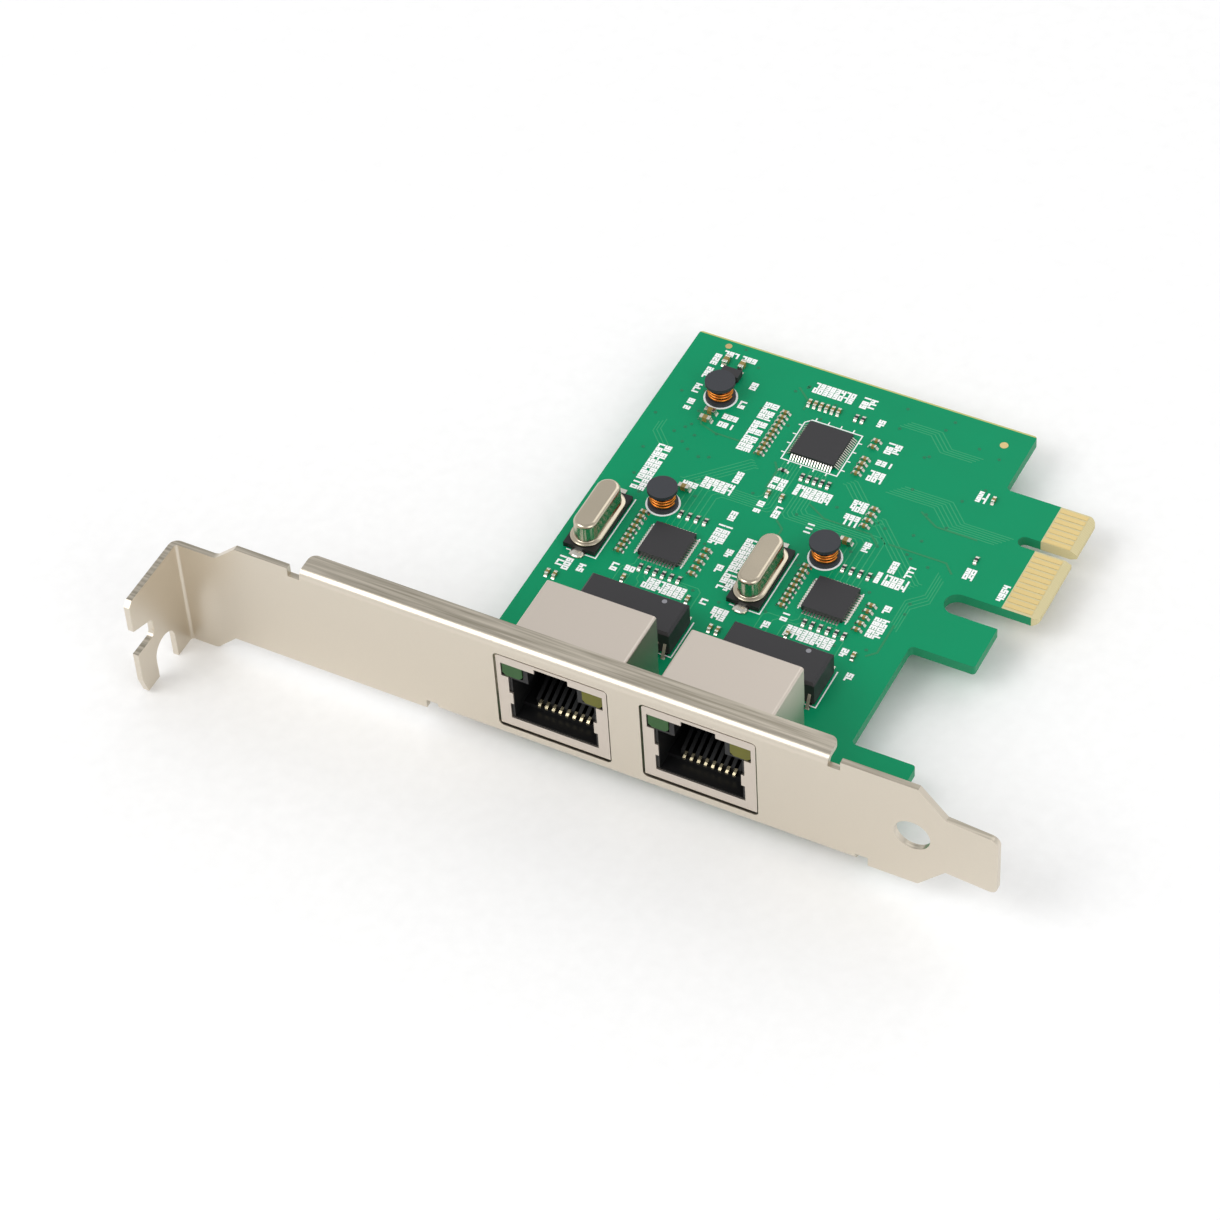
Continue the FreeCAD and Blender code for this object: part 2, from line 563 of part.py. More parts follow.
def cut_front_outline(body):
    """Slopes at the tab, taper of the tongue and the reliefs at the flanges' ends."""
    outer = "bracket_length + overcut"
    sketch = new_sketch(body, "XZ_Plane", "-tab_reach - overcut")
    polygon(sketch, (
        ("-overcut", "band_height + overcut"), ("-overcut", TAB_TOP), ("shoulder_start", TAB_TOP),
        ("shoulder_start + shoulder_length", "band_height"), (TAPER_START, "band_height"),
        (TAPER_END, f"{BAND_MIDDLE} + tongue_width / 2"),
        (outer, f"{BAND_MIDDLE} + tongue_width / 2"), (outer, "band_height + overcut")))
    polygon(sketch, (
        ("foot_end", "-tab_drop - overcut"), ("foot_end", "-tab_drop"),
        ("foot_end + foot_rise", "0"), (TAPER_START, "0"),
        (TAPER_END, f"{BAND_MIDDLE} - tongue_width / 2"),
        (outer, f"{BAND_MIDDLE} - tongue_width / 2"), (outer, "-tab_drop - overcut")))
    cut_pocket(sketch, "tab_reach + ear_depth + 2 * overcut")
    reliefs = new_sketch(body, "XZ_Plane", "-overcut")
    for start, end, low, high in (
            ("upper_flange_start", UPPER_FLANGE_END, "band_height - relief_depth", "band_height + overcut"),
            (FLANGE_START, FLANGE_END, "-overcut", "relief_depth")):
        rectangle(reliefs, f"{start} - relief_width", start, low, high)
        rectangle(reliefs, end, f"{end} + relief_width", low, high)
    cut_pocket(reliefs, "sheet + 2 * overcut")


def fold_flanges(body):
    """Bend radii where the flanges leave the plate; the reliefs end them."""
    for outer, inner, start, end in (
            ("band_height", "band_height - sheet", "upper_flange_start", UPPER_FLANGE_END),
            ("0", "sheet", FLANGE_START, FLANGE_END)):
        middle = (value(start) + value(end)) / 2
        for depth, level, radius in (("0", outer, "bend_radius + sheet"), ("sheet", inner, "bend_radius")):
            point = FreeCAD.Vector(0, value(depth), value(level))
            names = edges_through(body, [point], FreeCAD.Vector(1, 0, 0))
            names = [name for name in names if spans(body.Shape.getElement(name), middle)]
            soften(body, "Fillet", names, {"Radius": radius})


def spans(edge, middle):
    """Whether an edge passes a distance along the bracket."""
    return edge.BoundBox.XMin < middle < edge.BoundBox.XMax


def cut_tab_outline(body):
    """Open screw slot, hook, arch and clipped corner of the tab."""
    end = "-tab_reach - overcut"
    slot_inner = "screw_slot_depth - tab_reach"
    cuts = (
        ((end, "screw_slot_low + screw_slot_width"), ("-tab_reach", "screw_slot_low + screw_slot_width"),
         (slot_inner, "screw_slot_low + screw_slot_width - screw_slot_slant"),
         (slot_inner, "screw_slot_low"), (end, "screw_slot_low")),
        ((end, "hook_low + hook_clip_rise"), ("-tab_reach", "hook_low + hook_clip_rise"),
         ("hook_clip_width - tab_reach", "hook_low"), ("-arch_middle", "hook_low"),
         ("-arch_middle", "-tab_drop - overcut"), (end, "-tab_drop - overcut")),
        ((end, f"{TAB_TOP} + overcut"), (end, f"{TAB_TOP} - tab_clip"),
         ("-tab_reach", f"{TAB_TOP} - tab_clip"), ("tab_clip - tab_reach", TAB_TOP),
         ("tab_clip - tab_reach", f"{TAB_TOP} + overcut")),
    )
    sketch = new_sketch(body, "YZ_Plane", "-overcut")
    for corners in cuts:
        polygon(sketch, corners)
    cut_pocket(sketch, "sheet + 2 * overcut")
    arch = new_sketch(body, "YZ_Plane", "-overcut")
    low_centre = ("-arch_middle", "-tab_drop - arch_radius")
    round_slot(arch, low_centre, ("-arch_middle", "arch_spring"), "arch_radius", 90)
    cut_pocket(arch, "sheet + 2 * overcut")
    slot_top = "screw_slot_low + screw_slot_width - screw_slot_slant"
    fillet(body, "YZ", [(slot_inner, "screw_slot_low"), (slot_inner, slot_top)], "screw_slot_round")


def cut_windows(body):
    """The two port windows and the round hole beside them."""
    sketch = new_sketch(body, "XZ_Plane", "-overcut")
    levels = (f"{BOARD_TOP} - window_drop", f"{JACK_TOP} + window_gap")
    corners = []
    for middle in jack_middles():
        sides = [f"{middle} {sign} (jack_width / 2 + window_play)" for sign in "-+"]
        rectangle(sketch, *sides, *levels)
        corners += [(side, level) for side in sides for level in levels]
    circle(sketch, "bracket_length - round_hole_inset", BAND_MIDDLE, "round_hole")
    cut_pocket(sketch, "sheet + 2 * overcut")
    fillet(body, "XZ", corners, "window_corner")


def round_bracket_corners(body):
    """Rounded corners of the slopes, the tongue and the upper flange, bevelled ones of the ears."""
    fillet(body, "XZ", [("shoulder_start", TAB_TOP), ("foot_end", "-tab_drop")], "edge_round")
    tongue = [("bracket_length", f"{BAND_MIDDLE} {sign} tongue_width / 2") for sign in "+-"]
    names = [f"Edge{number}" for number, edge in enumerate(body.Shape.Edges, start=1)
             if tongue_corner(edge, tongue)]
    soften(body, "Fillet", names, {"Radius": "tongue_round"})
    fillet(body, "XY", [("upper_flange_start", "flange_depth"), (UPPER_FLANGE_END, "flange_depth")],
           "flange_corner")
    ears = [(place, "ear_depth") for place in
            (FLANGE_START, f"{FLANGE_START} + {EAR_WIDTH}", f"{FLANGE_END} - {EAR_WIDTH}", FLANGE_END)]
    soften(body, "Chamfer", corner_edges(body, "XY", ears), {"Size": "ear_bevel"})


def tongue_corner(edge, corners):
    """Whether an edge crosses the sheet at one of the tongue's two corners."""
    box = edge.BoundBox
    at_end = box.XMin > value("bracket_length - overcut / 2")
    return at_end and box.ZLength < 1e-4 and box.YLength > value("sheet / 2") and any(
        abs(box.ZMin - value(level)) < 1e-4 for _, level in corners)


def jack_middles():
    """Middles of the two jacks, along the bracket."""
    return LEFT_JACK, f"({LEFT_JACK} + jack_pitch)"


def build_board():
    """Printed circuit board with its cut-out, U slot, keyed connector and screw holes."""
    body = new_body("circuit_board")
    near = "sheet + bend_radius + board_gap"
    arm_near = "connector_near - slot_width - arm_width"
    slot_middle = "connector_near - slot_width / 2"
    sketch = new_sketch(body, "XY_Plane", BOARD_LOW)
    polygon(sketch, (
        (BOARD_LEFT, near), (STRIP_RIGHT, near), (STRIP_RIGHT, "strip_far"),
        (BOARD_RIGHT, "strip_far"), (BOARD_RIGHT, arm_near), (STRIP_RIGHT, arm_near),
        (STRIP_RIGHT, slot_middle), (TIP, slot_middle), (TIP, CONNECTOR_FAR),
        (BOARD_RIGHT, CONNECTOR_FAR), (BOARD_RIGHT, BOARD_FAR), (BOARD_LEFT, BOARD_FAR)))
    raise_pad(sketch, "board_thickness")
    for inner, middle, radius in (("slot_floor", slot_middle, "slot_width / 2"),
                                  ("key_floor", "key_middle", "key_radius")):
        slot = new_sketch(body, "XY_Plane", BOARD_LOW)
        first = (f"{BOARD_RIGHT} + {inner} + {radius}", middle)
        round_slot(slot, first, (f"{TIP} + 2 * overcut", middle), radius, 0)
        cut_pocket(slot, "board_thickness")
    holes = new_sketch(body, "XY_Plane", BOARD_LOW)
    for middle in ear_middles():
        circle(holes, middle, "screw_in", "screw_diameter + 2 * screw_play")
    cut_pocket(holes, "board_thickness")
    fillet(body, "XY", [(BOARD_RIGHT, place) for place in ("strip_far", arm_near, CONNECTOR_FAR)],
           "board_fillet")
    fillet(body, "XY", [(STRIP_RIGHT, "strip_far"), (STRIP_RIGHT, arm_near),
                        (BOARD_LEFT, BOARD_FAR), (BOARD_RIGHT, BOARD_FAR)], "board_corner")
    fillet(body, "XY", [(TIP, "connector_near"), (TIP, CONNECTOR_FAR)], "tip_corner")
    bevel_connector(body)


def bevel_connector(body):
    """Bevels on both faces of the connector's tip."""
    sketch = new_sketch(body, "XZ_Plane", "connector_near - overcut")
    outer = f"{TIP} + overcut"
    start = f"{TIP} - bevel_length"
    for face, sign in ((BOARD_TOP, "-"), (BOARD_LOW, "+")):
        away = "+" if sign == "-" else "-"
        polygon(sketch, (
            (start, face), (TIP, f"{face} {sign} bevel_depth"), (outer, f"{face} {sign} bevel_depth"),
            (outer, f"{face} {away} overcut"), (start, f"{face} {away} overcut")))
    cut_pocket(sketch, f"{CONNECTOR_FAR} - connector_near + 2 * overcut")


def build_edge_contacts():
    """Plated contacts of the edge connector, on the component side and the solder side."""
    end = f"{TIP} - bevel_length - contact_margin"
    for face, level in (("top", BOARD_TOP), ("bottom", f"{BOARD_LOW} - plating")):
        body = new_body(f"edge_contacts_{face}")
        for first, last in (("connector_near + contact_edge", "key_middle - key_radius"),
                            ("key_middle + key_radius + contact_key", CONNECTOR_FAR)):
            sketch = new_sketch(body, "XY_Plane", level)
            rectangle(sketch, f"{end} - contact_length", end,
                      f"{first} - contact_width / 2", f"{first} + contact_width / 2")
            count = f"floor(({last} - contact_land - ({first})) / contact_pitch) + 1"
            repeat(raise_pad(sketch, "plating"), "V_Axis", count, "contact_pitch")


def build_screws():
    """Two screws that hold the board to the bracket's ears, heads on the component side."""
    body = new_body("board_screws")
    for middle in ear_middles():
        shank = new_sketch(body, "XY_Plane", "-screw_tip")
        circle(shank, middle, "screw_in", "screw_diameter")
        raise_pad(shank, f"{BOARD_TOP} + screw_tip")
        head = new_sketch(body, "XY_Plane", BOARD_TOP)
        circle(head, middle, "screw_in", "screw_head")
        raise_pad(head, "screw_head_height")


def stepped_mouth(middle, low, step, widths, tops):
    """Outline of a jack's mouth: plug opening, row between or with the lamps, latch notch."""
    plug, row, notch = widths
    row_top, notch_top = tops
    half = ((plug, low), (plug, step), (row, step), (row, row_top), (notch, row_top), (notch, notch_top))
    right = [(f"{middle} + ({width}) / 2", level) for width, level in half]
    left = [(f"{middle} - ({width}) / 2", level) for width, level in reversed(half)]
    return right + left


def build_shield(side, middle):
    """Folded metal shield of a jack: roof, sides, rear and a front with the mouth's opening."""
    body = new_body(f"jack_shield_{side}")
    left, right = f"{middle} - jack_width / 2", f"{middle} + jack_width / 2"
    block = new_sketch(body, "XY_Plane", BOARD_TOP)
    rectangle(block, left, right, "jack_front", BACK)
    raise_pad(block, f"{JACK_TOP} - {BOARD_TOP}")
    fillet(body, "XZ", [(left, JACK_TOP), (right, JACK_TOP)], "shield_bend")
    inside = new_sketch(body, "XY_Plane", BOARD_TOP)
    rectangle(inside, f"{left} + shield", f"{right} - shield", "jack_front + shield", f"{BACK} - shield")
    cut_pocket(inside, f"{JACK_TOP} - {BOARD_TOP} - shield")
    seam = new_sketch(body, "XY_Plane", BOARD_TOP)
    rectangle(seam, f"{left} - overcut", f"{left} + seam_step", "jack_front + shield", f"{BACK} + overcut")
    rectangle(seam, f"{right} - seam_step", f"{right} + overcut", "jack_front + shield", f"{BACK} + overcut")
    cut_pocket(seam, "seam_height")
    mouth = new_sketch(body, "XZ_Plane", "jack_front - overcut")
    polygon(mouth, stepped_mouth(
        middle, f"{BOARD_TOP} + mouth_low", LAMP_ROW_LOW, (MOUTH_WIDTH, LAMP_ROW_WIDTH, LATCH_WIDTH),
        (LAMP_ROW_TOP, f"{JACK_TOP} - latch_edge")))
    cut_pocket(mouth, "shield + overcut")
    tabs = new_sketch(body, "XZ_Plane", "jack_front")
    for sign, inward in (("-", "+"), ("+", "-")):
        edge = f"{middle} {sign} {MOUTH_WIDTH} / 2"
        sides = (edge, f"{edge} {inward} tab_width")
        low = f"{BOARD_TOP} + tab_rise"
        rectangle(tabs, *(sides if sign == "-" else sides[::-1]), low, f"{low} + tab_height")
    raise_pad(tabs, "shield")


def build_insert(side, middle):
    """Moulded insert of a jack, with the plug cavity and the two lamp pockets."""
    body = new_body(f"jack_insert_{side}")
    block = new_sketch(body, "XY_Plane", BOARD_TOP)
    half = f"(jack_width / 2 - {INSERT_WALL})"
    rectangle(block, f"{middle} - {half}", f"{middle} + {half}",
              f"jack_front + {INSERT_WALL}", f"{BACK} - {INSERT_WALL}")
    raise_pad(block, f"{JACK_TOP} - {BOARD_TOP} - {INSERT_WALL}")
    cavity = new_sketch(body, "XZ_Plane", f"jack_front + {INSERT_WALL}")
    polygon(cavity, stepped_mouth(
        middle, CAVITY_FLOOR, f"{LAMP_ROW_LOW} - cavity_shoulder",
        (f"{MOUTH_WIDTH} - 2 * cavity_side", CHANNEL_WIDTH, LATCH_WIDTH),
        (LAMP_ROW_TOP, f"{JACK_TOP} - latch_edge - cavity_lip")))
    cut_pocket(cavity, f"{CAVITY_REAR} - jack_front - {INSERT_WALL}")
    pockets = new_sketch(body, "XZ_Plane", f"jack_front + {INSERT_WALL}")
    for sign in (-1, 1):
        left, right, low, high = lamp_box(middle, sign)
        rectangle(pockets, f"{left} - lamp_play", f"{right} + lamp_play", f"{low} - lamp_play",
                  f"{high} + lamp_play")
    cut_pocket(pockets, f"lamp_depth + lamp_inset + lamp_play - {INSERT_WALL}")


def lamp_box(middle, sign):
    """Left, right, lower and upper faces of a lamp; sign -1 is the one nearer the screw tab."""
    centre = f"{middle} + {sign} * ({LAMP_ROW_WIDTH} / 2 - lamp_width / 2 - 2 * lamp_play)"
    high = f"{LAMP_ROW_TOP} - 2 * lamp_play"
    return f"{centre} - lamp_width / 2", f"{centre} + lamp_width / 2", f"{high} - lamp_height", high


def build_lamps(side, middle):
    """The two lamps in the upper corners of a jack's mouth."""
    for colour, sign in (("green", -1), ("yellow", 1)):
        body = new_body(f"lamp_{colour}_{side}")
        left, right, low, high = lamp_box(middle, sign)
        sketch = new_sketch(body, "XZ_Plane", "jack_front + lamp_inset")
        polygon(sketch, (
            (f"{left} + lamp_bevel", low), (f"{right} - lamp_bevel", low), (right, f"{low} + lamp_bevel"),
            (right, high), (left, high), (left, f"{low} + lamp_bevel")))
        raise_pad(sketch, "lamp_depth")


def build_carrier(side, middle):
    """Moulded carrier on the cavity's floor, with a rib on each side of every spring."""
    body = new_body(f"spring_carrier_{side}")
    base = new_sketch(body, "XY_Plane", CAVITY_FLOOR)
    half = f"({MOUTH_WIDTH} / 2 - cavity_side)"
    rectangle(base, f"{middle} - {half}", f"{middle} + {half}",
              f"{SPRING_FRONT} + carrier_setback", CAVITY_REAR)
    raise_pad(base, "carrier_height")
    width = "(spring_pitch - spring_width - 2 * rib_play)"
    ribs = new_sketch(body, "YZ_Plane", f"{middle} - spring_count / 2 * spring_pitch - {width} / 2")
    front = f"{SPRING_FRONT} + rib_setback"
    polygon(ribs, (
        (front, CARRIER_TOP), (CAVITY_REAR, CARRIER_TOP),
        (CAVITY_REAR, f"{CARRIER_TOP} + spring_rise + spring_thickness + rib_height"),
        (front, f"{CARRIER_TOP} + spring_thickness + rib_height")))
    repeat(raise_pad(ribs, width), "N_Axis", "spring_count + 1", "spring_pitch")


def build_springs(side, middle):
    """Comb of contact springs that rise from the carrier's front edge to the cavity's rear wall."""
    body = new_body(f"jack_springs_{side}")
    tip, knee = SPRING_FRONT, f"({SPRING_FRONT} + 2 * spring_thickness)"
    first = f"{middle} - (spring_count - 1) / 2 * spring_pitch - spring_width / 2"
    sketch = new_sketch(body, "YZ_Plane", first)
    polygon(sketch, (
        (tip, CARRIER_TOP), (knee, CARRIER_TOP), (CAVITY_REAR, f"{CARRIER_TOP} + spring_rise"),
        (CAVITY_REAR, f"{CARRIER_TOP} + spring_rise + spring_thickness"),
        (f"{tip} + spring_thickness", f"{CARRIER_TOP} + 3 / 2 * spring_thickness"),
        (tip, f"{CARRIER_TOP} + spring_thickness")))
    repeat(raise_pad(sketch, "spring_width"), "N_Axis", "spring_count", "spring_pitch")


def build_tails(side, middle):
    """Solder tails of a jack below the board: two staggered rows and the shield's posts."""
    body = new_body(f"jack_tails_{side}")
    level = f"{BOARD_LOW} - tail_length"
    for row in range(2):
        first = f"{middle} + ({row} / 2 - 7 / 4) * tail_pitch"
        near = f"jack_front + tail_near + {row} * tail_rows"
        sketch = new_sketch(body, "XY_Plane", level)
        block_outline(sketch, first, f"({near} + tail_width / 2)", "tail_width", "tail_width")
        repeat(raise_pad(sketch, "tail_length"), "H_Axis", "spring_count / 2", "tail_pitch")
    posts = new_sketch(body, "XY_Plane", level)
    for sign in (-1, 1):
        centre = f"{middle} + {sign} * (jack_width - post_width) / 2"
        block_outline(posts, centre, "(jack_front + post_place + post_width / 2)", "post_width", "post_width")
    raise_pad(posts, "tail_length")


def build_jacks():
    """Everything that belongs to the two modular jacks."""
    for side, middle in zip(("left", "right"), jack_middles()):
        build_shield(side, middle)
        build_insert(side, middle)
        build_lamps(side, middle)
        build_carrier(side, middle)
        build_springs(side, middle)
        build_tails(side, middle)


def lead_row(body, plane, first, face, sign, shape):
    """Row of leads on one side of a chip, each slanting from its face down to a foot on the board.

    first is the middle of the first lead along the row, face the chip's side, and sign the side's
    outward direction. shape holds the lead's width, thickness, rise and reach, and the row's count
    and pitch.
    """
    width, thickness, rise, reach, count, pitch = shape
    heel = f"{face} + {sign} * ({reach} - {thickness})"
    toe = f"{face} + {sign} * {reach}"
    sketch = new_sketch(body, plane, f"{first} - {width} / 2")
    polygon(sketch, (
        (heel, BOARD_TOP), (toe, BOARD_TOP), (face, f"{BOARD_TOP} + {rise}"),
        (face, f"{BOARD_TOP} + {rise} - {thickness}")))
    row = repeat(raise_pad(sketch, width), "N_Axis", count, pitch)
    row.Reversed = plane == "XZ_Plane"
    DOCUMENT.recompute()


def channel_middles(piece):
    """Side and middle along the bracket of a piece that each port's channel has, shifted from its jack."""
    first = f"({LEFT_JACK} + {piece}_shift)"
    return ("left", first), ("right", f"({first} + jack_pitch + {piece}_spread)")


def build_transformers():
    """Two moulded transformer modules and their rows of leads."""
    shape = ("module_lead_width", "lead_thickness", "module_lead_rise", "module_lead_reach",
             "module_leads", "module_lead_pitch")
    far = f"{MODULE_NEAR} + module_depth"
    for side, middle in channel_middles("module"):
        body = new_body(f"transformer_{side}")
        sketch = new_sketch(body, "XY_Plane", f"{BOARD_TOP} + standoff")
        block_outline(sketch, middle, f"({MODULE_NEAR} + module_depth / 2)", "module_width", "module_depth")
        raise_pad(sketch, "module_height - standoff")
        soften(body, "Chamfer", top_edges(body), {"Size": "module_chamfer"})
        leads = new_body(f"transformer_leads_{side}")
        first = f"{middle} - (module_leads - 1) / 2 * module_lead_pitch"
        lead_row(leads, "YZ_Plane", first, MODULE_NEAR, -1, shape)
        lead_row(leads, "YZ_Plane", first, far, 1, shape)


def build_crystals():
    """Two crystals, each a can with a rim on an insulating base, and their terminals."""
    terminals = new_body("crystal_terminals")
    for side, middle in channel_middles("crystal"):
        can = new_body(f"crystal_can_{side}")
        rim = ("rim_reach", f"{BOARD_TOP} + base_height", "rim_height")
        drawn = ("0", f"{BOARD_TOP} + base_height + rim_height", "can_height")
        for reach, low, height in (rim, drawn):
            sketch = new_sketch(can, "XY_Plane", low)
            half = "(can_length - can_width) / 2"
            round_slot(sketch, (middle, f"{NETWORK_Y} - {half}"), (middle, f"{NETWORK_Y} + {half}"),
                       f"(can_width / 2 + {reach})", 90)
            raise_pad(sketch, height)
        soften(can, "Chamfer", top_edges(can), {"Size": "can_bevel"})
        base = new_body(f"crystal_base_{side}")
        plate = new_sketch(base, "XY_Plane", BOARD_TOP)
        block_outline(plate, middle, NETWORK_Y, "base_width", "base_length")
        raise_pad(plate, "base_height")
        tabs = new_sketch(terminals, "XY_Plane", BOARD_TOP)
        for sign in (-1, 1):
            centre = f"({NETWORK_Y} + {sign} * (base_length + terminal_length) / 2)"
            block_outline(tabs, middle, centre, "terminal_width", "terminal_length")
        raise_pad(tabs, "terminal_height")


def build_switch_chip():
    """Square chip with bent leads on its four sides."""
    body = new_body("switch_chip")
    half = "switch_side / 2"
    sketch = new_sketch(body, "XY_Plane", f"{BOARD_TOP} + standoff")
    block_outline(sketch, SWITCH_X, SWITCH_Y, "switch_side", "switch_side")
    raise_pad(sketch, "switch_height - standoff")
    leads = new_body("switch_chip_leads")
    shape = ("switch_lead_width", "fine_lead", "fine_rise", "switch_reach", "switch_leads", "switch_pitch")
    span = "(switch_leads - 1) / 2 * switch_pitch"
    for sign in (-1, 1):
        lead_row(leads, "YZ_Plane", f"{SWITCH_X} - {span}", f"{SWITCH_Y} + {sign} * {half}", sign, shape)
        lead_row(leads, "XZ_Plane", f"{SWITCH_Y} - {span}", f"{SWITCH_X} + {sign} * {half}", sign, shape)


def build_network_chips():
    """Two flat square chips that sit on the board."""
    for side, middle in channel_middles("network"):
        body = new_body(f"network_chip_{side}")
        sketch = new_sketch(body, "XY_Plane", BOARD_TOP)
        block_outline(sketch, middle, NETWORK_Y, "network_side", "network_side")
        raise_pad(sketch, "network_height")


def build_regulator():
    """Small regulator with three leads on one side and two on the other."""
    body = new_body("regulator")
    middle, behind = f"{LEFT_JACK} + regulator_shift", f"{SWITCH_Y} + regulator_behind"
    sketch = new_sketch(body, "XY_Plane", f"{BOARD_TOP} + standoff")
    block_outline(sketch, f"({middle})", f"({behind})", "regulator_width", "regulator_depth")
    raise_pad(sketch, "regulator_height - standoff")
    leads = new_body("regulator_leads")
    for sign, count, pitch in ((-1, 3, "regulator_pitch"), (1, 2, "2 * regulator_pitch")):
        shape = ("regulator_lead", "fine_lead", "fine_rise", "regulator_reach", count, pitch)
        face = f"{behind} + {sign} * regulator_depth / 2"
        lead_row(leads, "YZ_Plane", f"{middle} - regulator_pitch", face, sign, shape)


def turned_sketch(body, x, y):
    """Sketch in an upright plane whose vertical axis stands on the board at X, Y."""
    sketch = new_sketch(body, "XZ_Plane", y)
    sketch.setExpression("AttachmentOffset.Base.x", linked(x))
    sketch.setExpression("AttachmentOffset.Base.y", linked(BOARD_TOP))
    return sketch


def inductor_places():
    """Name and place of every inductor: one beside each network chip and one at the board's far edge."""
    left, middle = (f"{chip} + inductor_shift" for _, chip in channel_middles("network"))
    far = (f"{LEFT_JACK} + far_inductor_shift", f"{SWITCH_Y} + far_inductor_behind")
    return ("far", *far), ("left", left, INDUCTOR_Y), ("middle", middle, INDUCTOR_Y)


def build_inductors():
    """Drum cores with two flanges, and the windings between them."""
    flange, neck = "drum_diameter / 2", "drum_neck / 2"
    upper = "drum_height - drum_flange"
    for place, x, y in inductor_places():
        core = new_body(f"inductor_core_{place}")
        profile = turned_sketch(core, x, y)
        polygon(profile, (
            ("0", "0"), (flange, "0"), (flange, "drum_flange"), (neck, "drum_flange"),
            (neck, upper), (flange, upper), (flange, "drum_height"), ("0", "drum_height")))
        revolve(profile)
        winding = new_body(f"inductor_winding_{place}")
        coil = turned_sketch(winding, x, y)
        rectangle(coil, neck, f"{flange} - winding_inset", "drum_flange", upper)
        revolve(coil)


def chip_box(kind, x, y, axis):
    """One chip component standing on the board, centred at X, Y."""
    tank = kind == "tank"
    long, wide = ("tank_long", "tank_wide") if tank else ("chip_long", "chip_wide")
    height = value(f"{kind}_height")
    width, depth = (value(long), value(wide)) if axis == "X" else (value(wide), value(long))
    corner = FreeCAD.Vector(x - width / 2, y - depth / 2, value(BOARD_TOP))
    return Part.makeBox(width, depth, height, corner)


def placed_rows():
    """Every row of chip components with the place that it is measured from."""
    groups = [(SHARED_ROWS, SWITCH_X, SWITCH_Y), (CONNECTOR_ROWS, BOARD_RIGHT, "connector_near")]
    groups += [(CHANNEL_ROWS, middle, NETWORK_Y) for _, middle in channel_middles("network")]
    return [(value(x), value(y), *row) for rows, x, y in groups for row in rows]


def build_chips():
    """Small capacitors and resistors: the same few kinds of piece in many places."""
    for label, kinds in (("chip_capacitors", ("capacitor", "tank")), ("chip_resistors", ("resistor",))):
        boxes = []
        for base_x, base_y, kind, x, y, direction, pitch, length, axis in placed_rows():
            if kind in kinds:
                along_x, along_y = (pitch * part for part in DIRECTIONS[direction])
                boxes += [chip_box(kind, base_x + x + along_x * index, base_y + y + along_y * index, axis)
                          for index in range(round(length / pitch) + 1)]
        group = DOCUMENT.addObject("Part::Feature", label)
        group.Label = label
        group.Shape = Part.makeCompound(boxes)
        group.Placement = FreeCAD.Placement()
        PARTS.append(group)


def check_model():
    """See that every feature came out and that every sub-part is a sound solid."""
    DOCUMENT.recompute()
    for item in DOCUMENT.Objects:
        if "Invalid" in item.State or "Error" in item.State:
            raise ValueError(f"{item.Label} failed")
    for part in PARTS:
        if part.Shape.isNull() or not part.Shape.isValid() or not part.Shape.Solids:
            raise ValueError(f"{part.Label} is not a sound solid")


def export_parts():
    """Write each sub-part to its own file and print its solids and volume."""
    os.makedirs("parts", exist_ok=True)
    for part in PARTS:
        part.Shape.exportStep(os.path.join("parts", f"{part.Label}.step"))
        print(f"{part.Label}: {len(part.Shape.Solids)} solids, {part.Shape.Volume:.3f} mm3")


fill_sheet()
build_bracket()
build_board()
build_edge_contacts()
build_screws()
build_jacks()
build_transformers()
build_crystals()
build_switch_chip()
build_network_chips()
build_regulator()
build_inductors()
build_chips()
check_model()
export_parts()
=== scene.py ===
"""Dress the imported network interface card: finishes, board art, small parts, floor, light and camera.

Lengths are in metres, unless a comment says millimetres. Finishes and small parts take their places from
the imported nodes' boxes. The print, the routed lines and the fiducials have places of their own on the board.
"""
import logging
import math
import random
from dataclasses import dataclass, field
from enum import Enum

import bmesh
import bpy
from mathutils import Matrix, Vector


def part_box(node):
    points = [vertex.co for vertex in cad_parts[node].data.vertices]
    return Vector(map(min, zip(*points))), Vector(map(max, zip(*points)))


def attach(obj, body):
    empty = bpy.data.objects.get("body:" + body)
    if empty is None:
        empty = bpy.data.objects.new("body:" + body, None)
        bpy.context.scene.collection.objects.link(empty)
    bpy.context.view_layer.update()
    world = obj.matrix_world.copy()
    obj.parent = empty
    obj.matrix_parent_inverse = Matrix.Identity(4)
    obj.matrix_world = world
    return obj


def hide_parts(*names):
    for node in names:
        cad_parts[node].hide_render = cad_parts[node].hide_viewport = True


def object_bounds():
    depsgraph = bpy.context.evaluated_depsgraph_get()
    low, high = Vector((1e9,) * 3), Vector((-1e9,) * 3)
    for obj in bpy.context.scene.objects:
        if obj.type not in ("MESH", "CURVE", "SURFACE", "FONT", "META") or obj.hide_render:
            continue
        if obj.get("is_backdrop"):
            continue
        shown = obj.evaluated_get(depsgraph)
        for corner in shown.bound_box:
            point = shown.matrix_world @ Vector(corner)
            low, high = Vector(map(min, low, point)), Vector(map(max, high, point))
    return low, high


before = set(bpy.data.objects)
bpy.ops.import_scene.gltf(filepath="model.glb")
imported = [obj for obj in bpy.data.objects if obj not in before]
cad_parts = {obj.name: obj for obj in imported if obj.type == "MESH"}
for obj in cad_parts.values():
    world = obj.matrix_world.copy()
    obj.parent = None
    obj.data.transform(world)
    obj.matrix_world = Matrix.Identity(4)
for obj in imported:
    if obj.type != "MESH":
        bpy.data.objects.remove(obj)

LOG = logging.getLogger("card")
MM = 0.001
SIDES = ("left", "right")
PLACES = ("far", "left", "middle")
MERGE = 1e-7
LEAST_ROUGHNESS = 0.03
ROUGHNESS_SPREAD = 0.2
MITRE_LIMIT = 0.4


